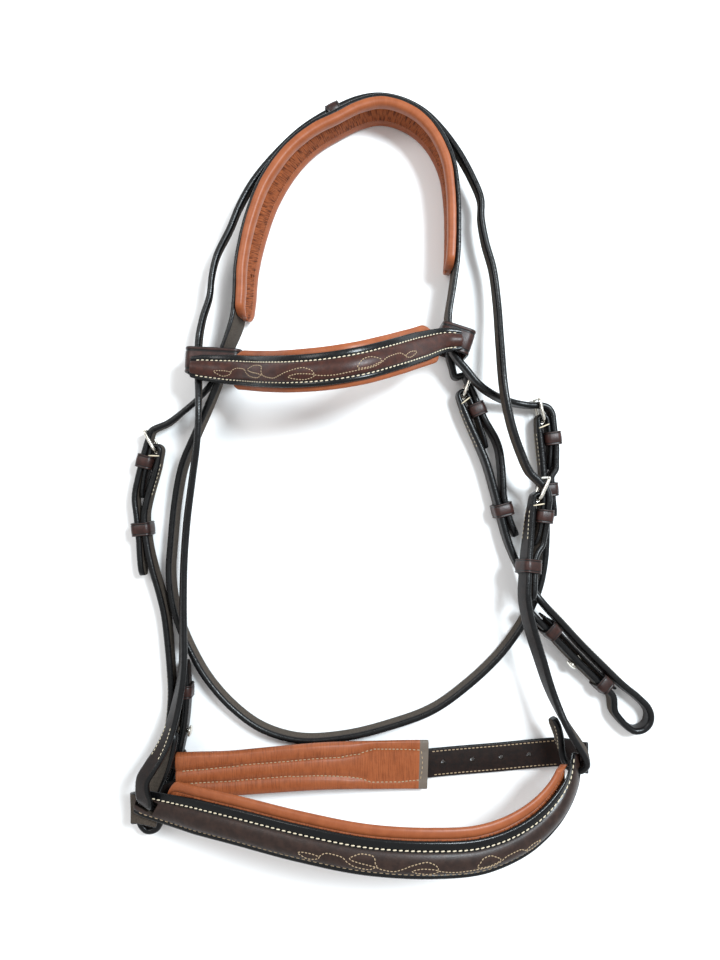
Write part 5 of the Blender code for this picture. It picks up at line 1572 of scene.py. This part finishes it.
def throatlatch():
    """The throatlatch with its buckle, and the billet that comes down to it."""
    buckle = Buckle("throat", THROATLATCH_SHARES, NARROW)
    buckle.strap("throatlatch")
    buckle.close(THROAT_BILLET_SHARES)
    thread = Thread()
    buckle.stitches(thread)
    thread.finish("throat_stitches", BODY_OF["throatlatch"])


def vine(thread, surface, places, rows, size):
    """A stitched vine of leaves between the two stitch rows of a band."""
    start, end = (nearest_mark(surface.path, *place) for place in places)
    upper, lower = rows
    for line in VINE_LINE_SHARES:
        corners = np.array([(u, v, 0) for u, v in line])
        ends = lengthened(corners, line[0] == line[-1])
        points = [
            curve_point(ends[i - 1 : i + 3], k / VINE_STEPS)
            for i in range(1, len(ends) - 2) for k in range(VINE_STEPS)
        ]
        points = np.array(points + [corners[-1]])
        across = VINE_MARGIN + (1 - 2 * VINE_MARGIN) * points[:, 1]
        marks = start + (end - start) * points[:, 0]
        thread.line(surface, marks, lower + (upper - lower) * across, size)


def raised_band(name, path, thickness, width, section, shift):
    """A raised band, and the face that its threads lie on."""
    made = lay(
        name + "_strap", path, thickness, width, section=section, finish=name, ups=shift
    )
    upper_side = section[: -len(BAND_UNDER_SHARES)]
    return made, Surface(path, width, thickness, upper_side, ups=shift)


def band_padding(name, path, band, thickness, width, span_shares, shift=0):
    """The tan padding under a raised band of a thickness, with a roll along each edge."""
    first, last = (share * path.length for share in span_shares)
    under = band / 2 + PAD_GAP + thickness / 2
    return lay(
        name + "_padding", path, thickness, width, first, last, (True, True),
        BAND_PAD_SECTION, "tan", -under, shift, PAD_RIPPLE,
    )


def browband():
    """The raised band with its padding, its threads and the loop at each end."""
    path = Path(route_rows(BROWBAND_SHARES, BROWBAND_FLOOR))
    width = band_width(path, BROWBAND_FACE_WIDTH, BROWBAND_START_SHARES, BROWBAND_END_SHARES)
    _, face = raised_band(
        "browband", path, BROWBAND_THICKNESS, width, BROWBAND_SECTION, BROWBAND_FACE_SHIFT
    )
    padding = band_padding(
        "browband", path, BROWBAND_THICKNESS, BROWBAND_PAD_THICKNESS, BROWBAND_PAD_WIDTH,
        BROWBAND_PAD_SPAN_SHARES,
    )
    for hand, (column, row) in LOOP_PIXELS.items():
        centre = seen_from_above(column, row, LOOP_FLOOR + LOOP_HEIGHT / 2)
        angle = LOOP_ANGLES[hand]
        x = (math.cos(angle), math.sin(angle), 0)
        z = (math.sin(angle), -math.cos(angle), 0)
        hoop(
            "browband_loop_" + hand, frame_matrix(centre, x, (0, 0, 1), z),
            LOOP_WIDTHS[hand] / 2, LOOP_HEIGHT / 2, LOOP_BEND, LOOP_THICKNESS, LOOP_LENGTH,
        )
    thread = Thread()
    for a in BROWBAND_ROW_SHARES:
        thread.seam(face, SEAM_END, path.length - SEAM_END, a, BROWBAND_THREAD, SEAM_SLANT)
    thread.finish("browband_stitches", BODY_OF["browband_strap"])
    thread = Thread()
    vine(thread, face, BROWBAND_VINE_PIXELS, BROWBAND_ROW_SHARES, BROWBAND_VINE_THREAD)
    thread.finish("browband_vine", BODY_OF["browband_strap"], "dull_thread")


def slot_cutter(path, mark, sizes=SLOT_SIZES):
    """A slot across a band, where another strap passes through it."""
    centre, _, up, side = path.place(mark)
    return box(centre, side, up, *sizes)


def noseband():
    """The band with its padding, the two straps that carry it, and the chin strap."""
    buckle = Buckle("noseband", HANGER_SHARES, NARROW)
    leg = buckle.leg
    buckle.strap("noseband_hanger", end_tip=True)
    _, head_path = buckle.close(HEADSTRAP_SHARES, "noseband_headstrap", start_tip=True)
    half = BILLET_THICKNESS / 2
    crown_mark = nearest_mark(head_path, *CROWN_KEEPER_PIXELS)
    keeper("crown_keeper", head_path, crown_mark, -half, half)

    left_mark = nearest_mark(head_path, *HEADSTRAP_SLOT_PIXELS)
    right_mark = nearest_mark(leg, *HANGER_SLOT_PIXELS)
    path = Path(route_rows(NOSEBAND_SHARES))
    thickness = (
        [share * path.length for share in BAND_RISE_SHARES],
        [BAND_END_THICKNESS, NOSEBAND_THICKNESS, NOSEBAND_THICKNESS, BAND_END_THICKNESS],
    )
    width = band_width(path, NOSEBAND_FACE_WIDTH, NOSEBAND_START_SHARES, NOSEBAND_END_SHARES)
    band, face = raised_band(
        "noseband", path, thickness, width, NOSEBAND_SECTION, NOSEBAND_FACE_SHIFT
    )
    carve(band, [slot_cutter(head_path, left_mark), slot_cutter(leg, right_mark)])
    padding = band_padding(
        "noseband", path, NOSEBAND_THICKNESS, NOSEBAND_PAD_THICKNESS, NOSEBAND_PAD_WIDTH,
        NOSEBAND_PAD_SPAN_SHARES, NOSEBAND_ROLL_SHIFT,
    )
    carve(padding, [slot_cutter(leg, right_mark, NOTCH_SIZES)])

    thread = Thread()
    upper, lower = NOSEBAND_ROW_SHARES
    thread.seam(face, SEAM_END, path.length - SEAM_END, upper, NOSEBAND_THREAD, SEAM_SLANT)
    thread.finish("noseband_stitches", BODY_OF["noseband_strap"])
    thread = Thread()
    thread.seam(face, SEAM_END, path.length - SEAM_END, lower, LOWER_THREAD)
    vine(thread, face, NOSEBAND_VINE_PIXELS, NOSEBAND_ROW_SHARES, NOSEBAND_VINE_THREAD)
    thread.finish("noseband_vine", BODY_OF["noseband_strap"], "dull_thread")

    thread = Thread()
    buckle.stitches(thread)
    lap = Surface(leg, STRAP_WIDTH, STRAP_THICKNESS, face=-1)
    thread.pair(lap, nearest_mark(leg, *HANGER_SEAM_PIXELS), leg.length - SEAM_END)
    lap = Surface(head_path, STRAP_WIDTH, BILLET_THICKNESS, face=-1)
    thread.pair(lap, *(nearest_mark(head_path, *place) for place in HEADSTRAP_SEAM_PIXELS))
    thread.finish("hanger_stitches", BODY_OF["noseband_hanger"])
    chin_parts(slot_cutter(head_path, left_mark - CHIN_SLOT_DROP))


def chin_parts(slot):
    """The chin strap with its buckle and pad, which hang from the noseband."""
    buckle = Buckle("chin", CHIN_STRAP_SHARES, BROAD)
    carve(buckle.strap("chin_strap", section=BROAD_SECTION), [slot])
    billet, path = buckle.close(CHIN_BILLET_SHARES, section=BROAD_SECTION)
    punches = []
    for hole in CHIN_HOLE_PIXELS:
        centre, along, up, _ = path.place(nearest_mark(path, *hole))
        punches.append(cylinder(centre, along, up, PUNCH_RADIUS, 4 * BROAD.billet))
    carve(billet, punches)
    chin_pad()
    thread = Thread()
    first, last = (nearest_mark(path, *place) for place in CHIN_BILLET_SEAM_PIXELS)
    for a in (CHIN_SEAM_SHARE, -CHIN_SEAM_SHARE):
        for side in (1, -1):
            face = Surface(path, CHIN_WIDTH, CHIN_BILLET_THICKNESS, face=side)
            thread.seam(face, first, last, a, CHIN_THREAD)
    thread.finish("chin_billet_stitches", BODY_OF["chin_billet"], "dull_thread")


def chin_pad():
    """The tan pad, quilted along its stitch rows, with a flat squared end."""
    path = Path(route_rows(CHIN_PAD_ROUTE_SHARES))
    ends = [0, path.length]
    thickness = (ends, [CHIN_PAD_THICKNESS, CHIN_PAD_END_THICKNESS])
    width = (ends, [CHIN_PAD_WIDTH, CHIN_PAD_END_WIDTH])
    rows = [
        np.array([share_at(path, width, *place) for place in row]) for row in CHIN_PAD_SEAM_PIXELS
    ]
    order = [row[np.argsort(row[:, 0])] for row in rows[:2]]
    flat = nearest_mark(path, *CHIN_PAD_FLAT_PIXELS)
    inward = 1 if rows[0][0, 0] > flat else -1
    squared = 0 if inward > 0 else path.length

    def section(mark):
        """The pad's outline at a mark: puffed inward of the flat end, raw at the very end."""
        upper, lower = (np.interp(mark, row[:, 0], row[:, 1]) for row in order)
        puff = np.interp((mark - flat) * inward, [0, CHIN_PAD_FADE], [LEAST_PUFF, 1])
        made = puffed_section(upper, lower, puff)
        if (mark - squared) * inward < CHIN_PAD_RAW_REACH:
            made[:, 2] = -1
        return made

    pad = lay("chin_pad", path, thickness, width, section=section, finish="tan", ripple=PAD_RIPPLE)
    thread = Thread()
    for row in rows:
        for (mark, share), (next_mark, next_share) in zip(row, row[1:]):
            middle = (mark + next_mark) / 2
            top = section(middle)[: -len(PUFF_UNDER_SHARES), :2]
            face = Surface(path, along_strap([middle], width)[0], thickness, top)
            thread.line(face, [mark, next_mark], [share, next_share], CHIN_THREAD)
    thread.finish("chin_pad_stitches", BODY_OF["chin_pad"], "dull_thread")


def floor():
    """A plain pale floor just under the bridle."""
    made, _, main = shader("pale_floor", FLOOR_ROUGHNESS)
    main.inputs["Base Color"].default_value = FLOOR_COLOUR
    mesh = bpy.data.meshes.new("floor")
    reach = FLOOR_REACH
    corners = [(-reach, -reach, 0), (reach, -reach, 0), (reach, reach, 0), (-reach, reach, 0)]
    mesh.from_pydata(corners, [], [(0, 1, 2, 3)])
    mesh.materials.append(made)
    plane = placed("floor", mesh)


def lamp(name, place, size, power, colour):
    """A square soft light that looks at the middle of the bridle."""
    data = bpy.data.lights.new(name, "AREA")
    data.color = colour
    data.energy = power
    data.size = size
    made = placed(name, data)
    made.location = place
    made.rotation_euler = (-Vector(place)).to_track_quat("-Z", "Y").to_euler()


def studio():
    """White surroundings, a stronger and a weaker soft light, and the camera overhead."""
    world = bpy.data.worlds.new("studio")
    bpy.context.scene.world = world
    world.use_nodes = True
    background = world.node_tree.nodes["Background"]
    background.inputs["Color"].default_value = (1, 1, 1, 1)
    background.inputs["Strength"].default_value = WORLD_STRENGTH
    for settings in LAMPS:
        lamp(*settings)
    bpy.context.scene.view_settings.view_transform = "Standard"
    data = bpy.data.cameras.new("camera")
    data.sensor_fit = "VERTICAL"
    data.sensor_height = SENSOR_HEIGHT
    data.lens = SENSOR_HEIGHT * LENS_PIXELS / IMAGE_PIXELS
    data.clip_start = CLIP_START
    made = placed("camera", data)
    made.location = (-CENTRE_X, -CENTRE_Y, EYE_HEIGHT)
    bpy.context.scene.camera = made


headpiece()
cheekpiece("left", LEFT_CHEEK_SHARES, LEFT_CHEEK_BILLET_SHARES)
cheekpiece("right", RIGHT_CHEEK_SHARES, RIGHT_CHEEK_BILLET_SHARES)
throatlatch()
browband()
noseband()
floor()
studio()
